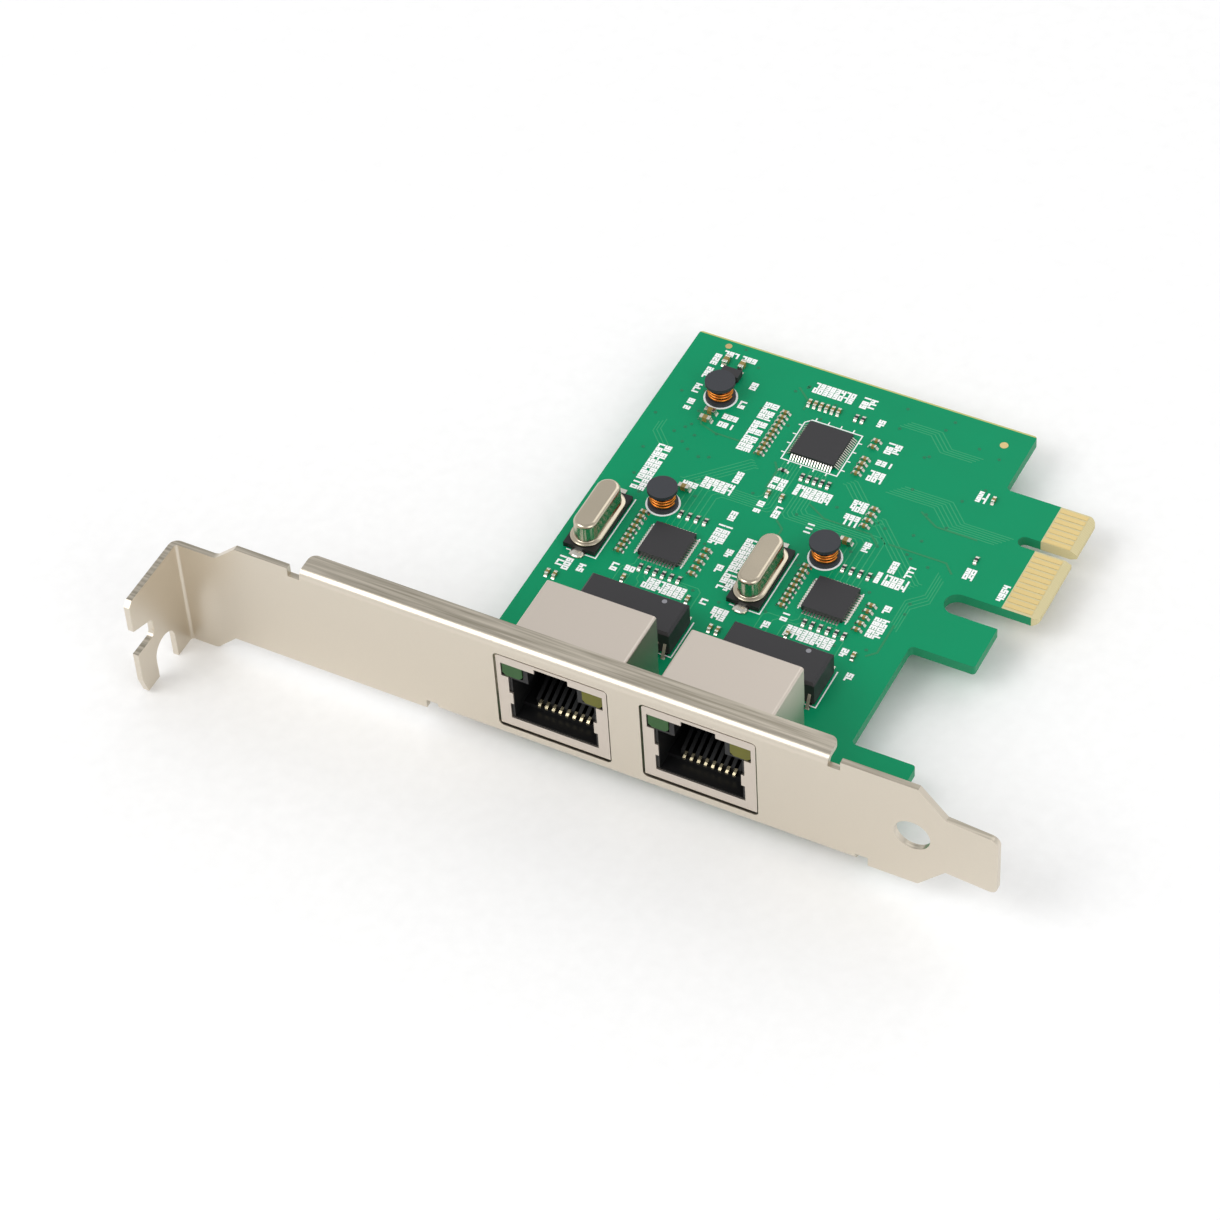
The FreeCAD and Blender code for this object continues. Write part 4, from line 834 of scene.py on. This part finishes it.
@dataclass
class ChipParts:
    """Chip capacitors and resistors with plated ends and their solder; bare shares are of the chip."""

    cap: float = 0.3
    inset: float = 0.03 * MM
    body_bevel: float = 0.04
    end_bevel: float = 0.08
    solder_width: float = 0.92
    solder_reach: float = 0.32 * MM
    solder_rise: float = 0.6
    knee_out: float = 0.45
    knee_up: float = 0.35

    def dress(self) -> None:
        """Replace the plain blocks by bodies and plated ends, with a fillet at each end."""
        solder = Piece("chip_solder", TIN, "lead_tin")
        ends = []
        for node, finish, slot in (("chip_capacitors", CERAMIC, "capacitor_ceramic"),
                                   ("chip_resistors", GLAZE, "resistor_glaze")):
            bodies = []
            for box in solids_of(node):
                along = Vector((1, 0, 0)) if box.size.x > box.size.y else Vector((0, 1, 0))
                long = box.size.dot(along)
                slim = box.size - Vector((self.inset,) * 3) - along * long * self.cap
                bodies.append((box.centre, slim))
                for sign in (-1, 1):
                    middle = box.centre + along * sign * long * (1 - self.cap) / 2
                    ends.append((middle, box.size - along * long * (1 - self.cap)))
                    self.fillet(solder, box, along * sign)
            form = rounded_block(node, self.body_bevel)
            Scatter(f"{node}_bodies", finish, slot).place(form, bodies, node)
        Scatter("chip_ends", TIN, "lead_tin").place(rounded_block("chip_end", self.end_bevel), ends)
        solder.finish_piece()

    def fillet(self, solder: Piece, box: Box, outward: Vector) -> None:
        """Add the hollow wedge of solder at one end of a chip.

        Args:
            solder: Piece to add to.
            box: Box of the chip.
            outward: Direction of that end.
        """
        across = Vector((-outward.y, outward.x, 0))
        half = abs(box.size.dot(across)) / 2 * self.solder_width
        foot = box.centre + outward * abs(box.size.dot(outward)) / 2
        foot.z = box.low.z
        rise = Vector((0, 0, box.size.z * self.solder_rise))
        reach = outward * self.solder_reach
        profile = (foot, foot + reach, foot + reach * self.knee_out + rise * self.knee_up, foot + rise)
        ends = [[solder.mesh.verts.new(point + across * side) for point in profile]
                for side in (-half, half)]
        solder.mesh.faces.new(ends[0])
        solder.mesh.faces.new(ends[1][::-1])
        solder.bridge(ends[0][::-1], ends[1][::-1])


# Label blocks of the printed legend, in millimetres of the card's own frame: middle and size.
LABELS = (
    (46.4, 74.6, 2.2, 0.9), (49.2, 74.6, 2.2, 0.9), (44.8, 72.9, 1.0, 2.3), (44.9, 70.0, 1.0, 2.0),
    (44.9, 66.4, 1.0, 2.0), (45.3, 63.3, 0.9, 2.0), (52.1, 70.1, 1.0, 1.7), (52.2, 66.1, 1.0, 1.8),
    (51.8, 63.1, 2.0, 0.9), (51.8, 61.5, 2.0, 0.9), (63.0, 73.5, 6.1, 2.5), (68.3, 73.5, 2.4, 2.5),
    (71.5, 70.7, 1.0, 1.8), (56.1, 63.1, 2.2, 10.2), (75.1, 66.8, 2.1, 2.2), (75.1, 63.7, 2.0, 1.2),
    (75.1, 61.0, 2.2, 2.1), (62.8, 54.3, 0.9, 2.0), (64.0, 54.3, 0.9, 2.0), (68.6, 54.4, 5.7, 2.4),
    (62.9, 49.3, 0.9, 2.0), (65.6, 49.3, 0.9, 2.0), (75.4, 54.9, 2.2, 2.2), (75.4, 52.1, 2.2, 2.2),
    (57.9, 53.1, 1.0, 2.0), (56.0, 50.5, 4.5, 2.2), (46.0, 50.0, 2.0, 9.5), (52.4, 49.2, 2.0, 0.9),
    (60.4, 46.0, 1.0, 2.0), (60.4, 42.3, 2.0, 4.0), (63.0, 39.7, 1.0, 1.9), (63.0, 36.6, 1.0, 1.9),
    (57.8, 30.3, 6.6, 1.9), (52.0, 31.6, 1.0, 1.0), (49.9, 31.1, 1.0, 1.9), (45.9, 29.0, 1.0, 1.9),
    (43.3, 28.9, 2.0, 2.2), (65.1, 38.3, 2.2, 9.8), (70.9, 48.2, 1.0, 2.0), (79.5, 48.2, 1.0, 2.0),
    (84.4, 46.5, 1.0, 2.0), (86.8, 46.5, 1.0, 2.0), (85.2, 44.0, 4.6, 2.1), (86.8, 39.1, 1.0, 1.9),
    (87.0, 35.5, 1.9, 4.0), (79.4, 30.3, 6.7, 2.0), (73.2, 29.9, 1.0, 1.9), (74.9, 32.3, 1.0, 1.9),
    (84.8, 29.8, 1.0, 1.9), (63.8, 30.1, 1.0, 1.9), (66.6, 29.1, 2.2, 2.2), (87.2, 26.1, 1.0, 1.9),
    (90.0, 63.5, 1.9, 1.9), (94.2, 49.6, 1.9, 1.9), (99.7, 48.3, 1.3, 3.4),
)

# Bundles of lines, in millimetres: where the first starts, how far each runs along X and Y, how many.
BUSES = (
    (77.5, 59.0, 17.5, -3.0, 6), (78.0, 53.0, 10.0, -9.0, 4), (71.5, 58.0, 7.0, -6.0, 4),
    (58.5, 57.0, -8.0, -7.0, 4), (74.0, 71.5, 12.0, -2.5, 4), (89.5, 36.0, 2.0, 11.0, 4),
    (43.0, 58.5, 3.0, -7.0, 3),
)

# Dark gaps of the planes, in millimetres: corners of each line.
GAPS = (
    ((47.4, 62.6), (48.6, 60.4), (51.2, 59.6), (56.2, 59.6)), ((61.2, 58.0), (62.2, 56.6), (62.2, 53.0)),
    ((69.0, 52.6), (72.0, 50.9), (79.0, 50.9), (80.6, 49.4)), ((83.5, 57.6), (86.5, 55.8), (92.6, 55.8)),
    ((82.0, 50.2), (90.5, 50.2), (92.0, 48.6)), ((58.0, 72.6), (60.4, 70.6), (60.4, 68.8)),
    ((87.6, 30.4), (88.8, 31.6), (88.8, 37.0)), ((66.2, 48.0), (67.6, 46.8), (67.6, 44.4)),
)

# The seven strokes of a digit as pairs of corners of a box two units high, and each digit's strokes.
STROKES = (((0, 2), (1, 2)), ((1, 2), (1, 1)), ((1, 1), (1, 0)), ((0, 0), (1, 0)),
           ((0, 1), (0, 0)), ((0, 2), (0, 1)), ((0, 1), (1, 1)))
DIGITS = ((0, 1, 2, 3, 4, 5), (1, 2), (0, 1, 6, 4, 3), (0, 1, 6, 2, 3), (5, 6, 1, 2),
          (0, 5, 6, 2, 3), (0, 5, 4, 3, 2, 6), (0, 1, 2), (0, 1, 2, 3, 4, 5, 6), (6, 5, 0, 1, 2, 3))


@dataclass
class Legend:
    """White print on the board: outlines, rings and plain numbers."""

    top: float
    line: float = 0.18 * MM
    pitch: float = 0.78 * MM
    row: float = 1.08 * MM
    glyph_width: float = 0.42 * MM
    glyph_half: float = 0.37 * MM
    stroke: float = 0.27 * MM
    chip_gap: float = 0.5 * MM
    drum_gap: float = 0.3 * MM
    drum_line: float = 0.28 * MM
    module_gap: float = 0.35 * MM
    crystal_gap: float = 0.3 * MM
    frame_gap: float = 0.95 * MM
    frame_clip: float = 0.8 * MM
    tick: float = 0.6 * MM
    tick_places: tuple[float, ...] = (-0.7, -0.25, 0.2, 0.65)
    seed: int = 11

    def dress(self) -> None:
        """Print everything as one thin piece."""
        ink = Piece("board_legend", INK, "board_laminate")
        chance = random.Random(self.seed)
        for x, y, width, depth in LABELS:
            self.numbers(ink, Vector((x * MM, y * MM)), width * MM, depth * MM, chance)
        for place in PLACES:
            box = Box.of(f"inductor_core_{place}")
            outer = box.size.x / 2 + self.drum_gap
            ink.ring(box.centre, outer, self.drum_line, *self.heights())
        self.switch_frame(ink)
        for side in SIDES:
            self.angle(ink, Box.of(f"transformer_{side}"), self.module_gap, 0.0)
            self.angle(ink, Box.of(f"crystal_base_{side}"), self.crystal_gap, 2 * self.crystal_gap)
            chip = Box.of(f"network_chip_{side}")
            for x in (chip.low.x - self.chip_gap, chip.high.x + self.chip_gap):
                self.outline(ink, [(x, chip.low.y), (x, chip.high.y)], closed=False)
        ink.finish_piece()

    def heights(self) -> tuple[float, float]:
        """Lower and upper face of the ink."""
        return self.top, self.top + Level.INK.value

    def outline(self, ink: Piece, corners: list[tuple[float, float]], closed: bool = True) -> None:
        """Print a line through corners.

        Args:
            ink: Piece to print in.
            corners: Corners in plan.
            closed: Whether the line returns to its start.
        """
        points = [Vector(corner) for corner in corners]
        ink.ribbon(points, self.line, self.top, self.top + Level.FRAME.value, closed)

    def numbers(self, ink: Piece, centre: Vector, width: float, depth: float,
                chance: random.Random) -> None:
        """Fill a block with rows of plain digits.

        Args:
            ink: Piece to print in.
            centre: Middle of the block.
            width: Extent along X.
            depth: Extent along Y.
            chance: Source of the digits.
        """
        upright = depth > width
        long, short = (depth, width) if upright else (width, depth)
        rows = max(1, round(short / self.row))
        columns = max(2, round(long / self.pitch))
        turned = Matrix.Rotation(math.pi / 2 if upright else 0.0, 2)
        for row in range(rows):
            for column in range(columns):
                across = (column - (columns - 1) / 2) * self.pitch
                shift = Vector((across, (row - (rows - 1) / 2) * self.row))
                self.digit(ink, centre, turned, shift, DIGITS[chance.randrange(10)])

    def digit(self, ink: Piece, centre: Vector, turned: Matrix, shift: Vector,
              strokes: tuple[int, ...]) -> None:
        """Print one digit: a square at every corner in use and a stroke between each pair.

        Args:
            ink: Piece to print in.
            centre: Middle of the block of digits.
            turned: Turn of the block.
            shift: Place of the digit in the block before the turn.
            strokes: Numbers of its strokes.
        """
        places = {corner: centre + turned @ (shift + Vector((
            (corner[0] - 0.5) * self.glyph_width, (corner[1] - 1) * self.glyph_half)))
            for stroke in strokes for corner in STROKES[stroke]}
        half = self.stroke / 2
        for place in places.values():
            ink.bar(place - Vector((half, 0)), place + Vector((half, 0)), self.stroke, *self.heights())
        for stroke in strokes:
            first, last = (places[corner] for corner in STROKES[stroke])
            ink.bar(first, last, self.stroke, *self.heights(), reach=-half)

    def switch_frame(self, ink: Piece) -> None:
        """Print the frame round the switch chip, with one clipped corner and short ticks.

        Args:
            ink: Piece to print in.
        """
        box = Box.of("switch_chip")
        half = box.size.x / 2 + self.frame_gap
        clip = self.frame_clip
        x, y = box.centre.xy
        self.outline(ink, [(x - half, y - half), (x + half, y - half), (x + half, y + half),
                           (x - half + clip, y + half), (x - half, y + half - clip)])
        for share in self.tick_places:
            for sign in (-1, 1):
                reach = sign * (half + self.tick)
                edge, level = sign * (half + self.line / 2), share * half
                self.outline(ink, [(x + edge, y + level), (x + reach, y + level)], closed=False)
                self.outline(ink, [(x + level, y + edge), (x + level, y + reach)], closed=False)

    def angle(self, ink: Piece, box: Box, gap: float, start: float) -> None:
        """Print an angle along the near and the right side of a part.

        Args:
            ink: Piece to print in.
            box: The part's box.
            gap: Distance from the part.
            start: How far the line starts from the part's left side.
        """
        near, right, far = box.low.y - gap, box.high.x + gap, box.high.y + gap
        self.outline(ink, [(box.low.x + start, near), (right, near), (right, far)], closed=False)


@dataclass
class Copper:
    """Copper under the mask: routed lines, gaps of the poured planes and vias, and the bare pads."""

    top: float
    seed: int = 6
    fine: float = 0.16 * MM
    broad: float = 0.3 * MM
    pitch: float = 0.5 * MM
    lane: float = 0.4 * MM
    bend: float = 0.6 * MM
    margin: float = 0.12 * MM
    pairs: int = 8
    links: int = 6
    jack_margin: float = 0.1
    jack_spread: float = 0.8
    via: float = 0.24 * MM
    via_wall: float = 0.6
    vias_count: int = 110
    via_reach: tuple[float, float, float, float] = (1.5, 50, 26, 75)
    fiducials: tuple[tuple[float, float, float], ...] = ((45.3, 76.0, 0.5), (88.7, 73.9, 0.6))

    def dress(self) -> None:
        """Draw the lines, the gaps, the vias and the pads."""
        lines = Piece("board_traces", TRACE, "board_laminate")
        self.bundles(lines)
        self.buses(lines)
        lines.finish_piece()
        self.gaps()
        self.vias()
        self.pads()

    def run(self, lines: Piece, ends: list[tuple[Vector, Vector]], width: float) -> None:
        """Draw a bundle that leaves and arrives along Y, each line in its own lane between.

        Args:
            lines: Piece to draw in.
            ends: Start and end of every line, ordered along X.
            width: Width of the lines.
        """
        count = len(ends)
        middle = sum((start.y + end.y) / 2 for start, end in ends) / count
        for index, (start, end) in enumerate(ends):
            right = math.copysign(1, end.x - start.x)
            up = math.copysign(1, end.y - start.y)
            place = count - 1 - index if right > 0 else index
            lane = middle + up * (place - (count - 1) / 2) * self.lane
            bend = min(self.bend, abs(end.x - start.x) / 2)
            points = [start, Vector((start.x, lane - up * bend)), Vector((start.x + right * bend, lane)),
                      Vector((end.x - right * bend, lane)), Vector((end.x, lane + up * bend)), end]
            lines.ribbon(points, width, self.top, self.top + Level.TRACE.value)

    def bundles(self, lines: Piece) -> None:
        """Draw the lines between the network chips, the modules, the jacks and the switch chip.

        Args:
            lines: Piece to draw in.
        """
        switch = Box.of("switch_chip_leads")
        for side in SIDES:
            chip = Box.of(f"network_chip_{side}")
            module = Box.of(f"transformer_leads_{side}")
            jack = Box.of(f"jack_shield_{side}")
            shares = [(index + 0.5) / self.pairs for index in range(self.pairs)]
            middles = [module.low.x + share * module.size.x for share in shares]
            starts = [Vector((chip.low.x + share * chip.size.x, chip.low.y)) for share in shares]
            self.run(lines, [(start, Vector((x, module.high.y))) for start, x in zip(starts, middles)],
                     self.fine)
            ends = [Vector((jack.low.x + (self.jack_margin + self.jack_spread * share) * jack.size.x,
                            jack.high.y)) for share in shares]
            self.run(lines, [(Vector((x, module.low.y)), end) for x, end in zip(middles, ends)],
                     self.broad)
            corner = switch.low.x if side == "left" else switch.centre.x
            links = [(Vector((chip.low.x + place / (self.links + 1) * chip.size.x, chip.high.y)),
                      Vector((corner + place * self.pitch, switch.low.y)))
                     for place in range(1, self.links + 1)]
            self.run(lines, links, self.fine)

    def buses(self, lines: Piece) -> None:
        """Draw bundles of parallel lines that bend together across the open parts of the board.

        Args:
            lines: Piece to draw in.
        """
        for x, y, along, across, count in BUSES:
            right, up = math.copysign(1, along), math.copysign(1, across)
            slant = min(abs(along), abs(across))
            rest = Vector((along - right * slant, across - up * slant)) / 2
            for index in range(count):
                first = Vector((x, y)) * MM + Vector((-up, right)) * index * self.lane
                turn = first + rest * MM
                after = turn + Vector((right, up)) * slant * MM
                lines.ribbon([first, turn, after, after + rest * MM], self.fine, self.top,
                             self.top + Level.TRACE.value)

    def gaps(self) -> None:
        """Draw the dark gaps round the poured planes of copper."""
        dark = Piece("plane_gaps", GAP, "board_laminate")
        for corners in GAPS:
            points = [Vector(corner) * MM for corner in corners]
            dark.ribbon(points, self.broad, self.top, self.top + Level.GAP.value)
        dark.finish_piece()

    def vias(self) -> None:
        """Scatter small rings where lines change sides."""
        chance = random.Random(self.seed)
        board = Box.of("circuit_board")
        ring = Piece("via", VIA, "board_laminate")
        ring.ring(Vector((0, 0)), 1.0, self.via_wall, 0.0, 1.0, sides=12)
        bmesh.ops.recalc_face_normals(ring.mesh, faces=ring.mesh.faces)
        form = mesh_of(ring.mesh, "via")
        size = Vector((self.via, self.via, Level.PAD.value))
        points = []
        left, right, near, far = self.via_reach
        for _ in range(self.vias_count):
            x = board.low.x + chance.uniform(left, right) * MM
            y = board.low.y + chance.uniform(near, far) * MM
            points.append((Vector((x, y, self.top)), size))
        Scatter("board_vias", VIA, "board_laminate").place(form, points)

    def pads(self) -> None:
        """Lay the tinned pads under the modules' and the regulator's leads, and the two fiducials."""
        tin = Piece("board_pads", TIN, "lead_tin")
        high = self.top + Level.PAD.value
        edge = Vector((self.margin,) * 3)
        for node in ("transformer_leads_left", "transformer_leads_right", "regulator_leads"):
            for box in solids_of(node):
                low, far = box.low - edge, box.high + edge
                corners = [(low.x, low.y), (far.x, low.y), (far.x, far.y), (low.x, far.y)]
                tin.prism(corners, self.top, high)
        tin.finish_piece()
        gold = Piece("board_fiducials", GOLD, "gold_plating")
        for x, y, radius in self.fiducials:
            gold.ring(Vector((x, y)) * MM, radius * MM, radius * MM, self.top, high, sides=24)
        gold.finish_piece()


@dataclass
class Crystals:
    """Drawn crystal cans with rounded edges and a welded rim, and the solder at their terminals."""

    reach: float = 0.6 * MM
    rim: float = 0.3 * MM
    fillet: float = 0.55 * MM
    steps: int = 6
    sides: int = 24
    rim_profile: tuple[tuple[float, float], ...] = (
        (0.0, 0.0), (0.0, 0.6), (0.1, 0.9), (0.7, 1.0), (0.93, 1.15), (1.0, 1.5))
    moon: Vector = field(default_factory=lambda: Vector((1.1, 1.4)) * MM)
    moon_layers: tuple[tuple[float, float], ...] = ((1.0, 0.0), (0.96, 0.16), (0.8, 0.3), (0.5, 0.4))
    fullness: float = 0.7

    def dress(self) -> None:
        """Replace the cans and add the half-moons of solder at their near ends."""
        for side in SIDES:
            box = Box.of(f"crystal_can_{side}")
            can = Piece(f"drawn_can_{side}", CAN, "can_steel")
            can.stack([(self.stadium(box, inset), z) for inset, z in self.profile(box)])
            can.finish_piece(f"crystal_can_{side}", smooth=True)
            tin = Piece(f"terminal_solder_{side}", TIN, "lead_tin")
            base = Box.of(f"crystal_base_{side}")
            self.half_moon(tin, Vector((base.centre.x, base.low.y)), base.low.z)
            tin.finish_piece(smooth=True)

    def profile(self, box: Box) -> list[tuple[float, float]]:
        """Inset and height of the can's outlines, from the rim's foot to the flat top.

        The rim's own points are shares of its reach and of its thickness.

        Args:
            box: The can's box.

        Returns:
            Pairs of inset and height.
        """
        points = [(self.reach * inward, box.low.z + self.rim * rise) for inward, rise in self.rim_profile]
        for step in range(self.steps + 1):
            turn = math.pi / 2 * step / self.steps
            points.append((self.reach + self.fillet * (1 - math.cos(turn)),
                           box.high.z - self.fillet * (1 - math.sin(turn))))
        return points

    def stadium(self, box: Box, inset: float) -> list[tuple[float, float]]:
        """Outline with two straight sides along Y and round ends.

        Args:
            box: Box of the outline before it is inset.
            inset: How far inside the box's outline it lies.

        Returns:
            Its corners, counter-clockwise.
        """
        radius = box.size.x / 2 - inset
        half = (box.size.y - box.size.x) / 2
        corners = []
        for start, middle in ((0.0, box.centre.y + half), (math.pi, box.centre.y - half)):
            for step in range(self.sides + 1):
                turn = start + math.pi * step / self.sides
                corners.append((box.centre.x + radius * math.cos(turn), middle + radius * math.sin(turn)))
        return corners

    def half_moon(self, tin: Piece, foot: Vector, level: float) -> None:
        """Add a half-disc of solder that swells towards its straight side.

        Args:
            tin: Piece to add to.
            foot: Middle of its straight side.
            level: Height of the board's face.
        """
        bulges = []
        for step in range(self.sides + 1):
            turn = math.pi + math.pi * step / self.sides
            bulges.append([math.copysign(abs(part) ** self.fullness, part)
                           for part in (math.cos(turn), math.sin(turn))])
        tin.stack([([(foot.x + self.moon.x * share * x, foot.y + self.moon.y * share * y)
                     for x, y in bulges], level + rise * MM) for share, rise in self.moon_layers])


@dataclass
class Screws:
    """Pan-head board screws with a cross recess."""

    rings: int = 14
    sides: int = 64
    dome: float = 0.22
    arm: float = 0.42 * MM
    reach: float = 1.6 * MM
    depth: float = 0.7 * MM
    floor_rise: float = 0.5
    slack: float = 0.001 * MM
    shank: float = 1.5 * MM

    def dress(self) -> None:
        """Replace both plain screws."""
        steel = Piece("cross_recess_screws", ZINC, "screw_zinc")
        for box in solids_of("board_screws"):
            self.turn(steel, box)
        steel.finish_piece("board_screws")

    def turn(self, steel: Piece, box: Box) -> None:
        """Build one screw from the top down to the shank's end.

        Args:
            steel: Piece to add to.
            box: Box of the plain screw.
        """
        head = box.size.x / 2
        shoulder = Box.of("circuit_board").high.z
        centre = box.centre
        loops = []
        for ring in range(1, self.rings + 1):
            radius = head * ring / self.rings
            loops.append([(radius, self.height(box, radius, side)) for side in range(self.sides)])
        for radius, level in ((head, shoulder), (self.shank, shoulder), (self.shank, box.low.z)):
            loops.append([(radius, level)] * self.sides)
        turns = [2 * math.pi * side / self.sides for side in range(self.sides)]
        built = [[steel.mesh.verts.new((centre.x + radius * math.cos(turn),
                                        centre.y + radius * math.sin(turn), z))
                  for (radius, z), turn in zip(loop, turns)] for loop in loops]
        tip = steel.mesh.verts.new((centre.x, centre.y, self.height(box, 0.0, 0)))
        for index in range(self.sides):
            after = (index + 1) % self.sides
            steel.mesh.faces.new((tip, built[0][index], built[0][after]))
            for upper, lower in zip(built, built[1:]):
                steel.mesh.faces.new((upper[index], lower[index], lower[after], upper[after]))
        steel.mesh.faces.new(built[-1][::-1])

    def height(self, box: Box, radius: float, side: int) -> float:
        """Height of the head's upper face at a place, with the cross sunk into it.

        Args:
            box: Box of the screw.
            radius: Distance from the screw's axis.
            side: Number of the side, counted round from +X.

        Returns:
            The height.
        """
        turn = 2 * math.pi * side / self.sides
        x, y = abs(radius * math.cos(turn)), abs(radius * math.sin(turn))
        head = box.size.x / 2
        level = box.high.z - self.dome * head * (radius / head) ** 2
        if min(x, y) >= self.arm / 2 + self.slack or max(x, y) >= self.reach:
            return level
        return level - self.depth * (1 - max(x, y) / self.reach * self.floor_rise)


@dataclass
class Packages:
    """Marks and side pads of the moulded chips, without any lettering."""

    dot: float = 0.36 * MM
    dot_inset: tuple[float, float] = (3.2 * MM, 1.0 * MM)
    print_height: float = 0.01 * MM
    count: int = 12
    pitch: float = 0.46 * MM
    width: float = 0.28 * MM
    reach: float = 0.7 * MM
    rise: float = 0.08 * MM

    def dress(self) -> None:
        """Add the flat chips' side pads and the first-pin dots."""
        pads = Piece("network_chip_pads", TIN, "lead_tin")
        dots = Piece("first_pin_dots", DOT, "mould_compound")
        for side in SIDES:
            chip = Box.of(f"network_chip_{side}")
            self.side_pads(pads, chip)
            module = Box.of(f"transformer_{side}")
            spot = Vector((module.high.x - self.dot_inset[0], module.high.y - self.dot_inset[1]))
            dots.ring(spot, self.dot, self.dot, module.high.z, module.high.z + self.print_height, sides=24)
        pads.finish_piece()
        dots.finish_piece()

    def side_pads(self, pads: Piece, chip: Box) -> None:
        """Add the row of tinned pads that shows round a flat chip.

        Args:
            pads: Piece to add to.
            chip: The chip's box.
        """
        for index in range(self.count):
            shift = (index - (self.count - 1) / 2) * self.pitch
            for outward in (Vector((1, 0)), Vector((-1, 0)), Vector((0, -1)), Vector((0, 1))):
                across = Vector((-outward.y, outward.x))
                foot = chip.centre.xy + outward * chip.size.x / 2 + across * shift
                pads.bar(foot, foot + outward * self.reach, self.width, chip.low.z,
                         chip.low.z + self.rise)


# Soft panels: name, place from the card's middle and side in metres, power in watts.
PANELS = (
    ("key_panel", (-0.45, -0.55, 0.75), 0.6, 3.6),
    ("fill_panel", (0.7, -0.35, 0.5), 0.6, 1.6),
    ("rear_panel", (0.1, 0.75, 0.6), 0.7, 1.4),
)


@dataclass
class Studio:
    """Pale floor, soft light and the camera; lengths in metres, angles in degrees."""

    azimuth: float = 30.11
    elevation: float = 47.49
    roll: float = -4.12
    distance: float = 0.5665
    lens: float = 124.66
    aim: Vector = field(default_factory=lambda: Vector((-6.68, -9.47, -4.49)) * MM)
    horizon: float = 0.92
    zenith: float = 0.56
    floor_half: float = 6.0

    def build(self, low: Vector, high: Vector) -> None:
        """Set up everything round the card.

        Args:
            low: Lowest corner of the card.
            high: Highest corner of the card.
        """
        self.floor(low.z)
        self.world()
        centre = (low + high) / 2
        for name, place, size, power in PANELS:
            self.lamp(name, centre + Vector(place), centre, size, power)
        self.camera(centre + self.aim)

    def floor(self, level: float) -> None:
        """Lay a wide pale floor under the card.

        Args:
            level: Height of the floor.
        """
        work = bmesh.new()
        bmesh.ops.create_grid(work, x_segments=1, y_segments=1, size=self.floor_half)
        data = mesh_of(work, "floor")
        data.materials.append(PAPER.material())
        made = stand("floor", data)
        made.location.z = level
        made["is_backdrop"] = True

    def world(self) -> None:
        """Surround the scene with soft white light, dimmer overhead."""
        world = bpy.data.worlds.new("studio")
        world.use_nodes = True
        tree = world.node_tree
        tree.nodes.clear()
        place = add(tree, "ShaderNodeTexCoord").outputs["Generated"]
        height = add(tree, "ShaderNodeSeparateXYZ", {0: place}).outputs["Z"]
        ramp = add(tree, "ShaderNodeMapRange", {
            "Value": height, "To Min": self.horizon, "To Max": self.zenith})
        sky = add(tree, "ShaderNodeBackground", {
            "Color": (1, 1, 1, 1), "Strength": ramp.outputs["Result"]})
        add(tree, "ShaderNodeOutputWorld", {"Surface": sky.outputs["Background"]})
        bpy.context.scene.world = world

    def lamp(self, name: str, place: Vector, target: Vector, size: float, power: float) -> None:
        """Hang a square soft light.

        Args:
            name: Name of the light.
            place: Where it hangs.
            target: What it faces.
            size: Length of its side.
            power: Power in watts.
        """
        data = bpy.data.lights.new(name, "AREA")
        data.size = size
        data.energy = power
        made = stand(name, data)
        made.location = place
        made.rotation_euler = (target - place).to_track_quat("-Z", "Y").to_euler()

    def camera(self, target: Vector) -> None:
        """Stand the camera at its angle, slightly rolled.

        Args:
            target: Point on the camera's axis.
        """
        turn, rise, roll = (math.radians(angle) for angle in (self.azimuth, self.elevation, self.roll))
        back = Vector((math.sin(turn) * math.cos(rise), -math.cos(turn) * math.cos(rise), math.sin(rise)))
        level = Vector((math.cos(turn), math.sin(turn), 0))
        upright = back.cross(level)
        right = level * math.cos(roll) + upright * math.sin(roll)
        up = upright * math.cos(roll) - level * math.sin(roll)
        data = bpy.data.cameras.new("camera")
        data.lens = self.lens
        data.sensor_width = 36.0
        data.clip_start = 0.01
        data.clip_end = 20.0
        made = stand("camera", data)
        rotation = Matrix((right, up, back)).transposed()
        made.matrix_world = Matrix.Translation(target + back * self.distance) @ rotation.to_4x4()
        bpy.context.scene.camera = made


def dress_nodes() -> None:
    """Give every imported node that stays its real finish."""
    for node, finish in NODE_FINISHES.items():
        data = bpy.data.objects[node].data
        data.materials.clear()
        data.materials.append(finish.material())
    LOG.info("%d nodes dressed", len(NODE_FINISHES))


def main() -> None:
    """Dress the card piece by piece and set up the studio."""
    logging.basicConfig(level=logging.INFO, format="%(name)s: %(message)s")
    low, high = (Vector(corner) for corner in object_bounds())
    Studio().build(low, high)
    dress_nodes()
    top = Box.of("circuit_board").high.z
    ChipParts().dress()
    Copper(top).dress()
    Legend(top).dress()
    Packages().dress()
    Crystals().dress()
    Screws().dress()
    for place in PLACES:
        node = f"inductor_winding_{place}"
        Coil(f"copper_turns_{place}", COPPER, "copper_wire").wind(Box.of(node), node)
    bpy.context.scene.view_settings.view_transform = "Standard"


if __name__ == "__main__":
    main()
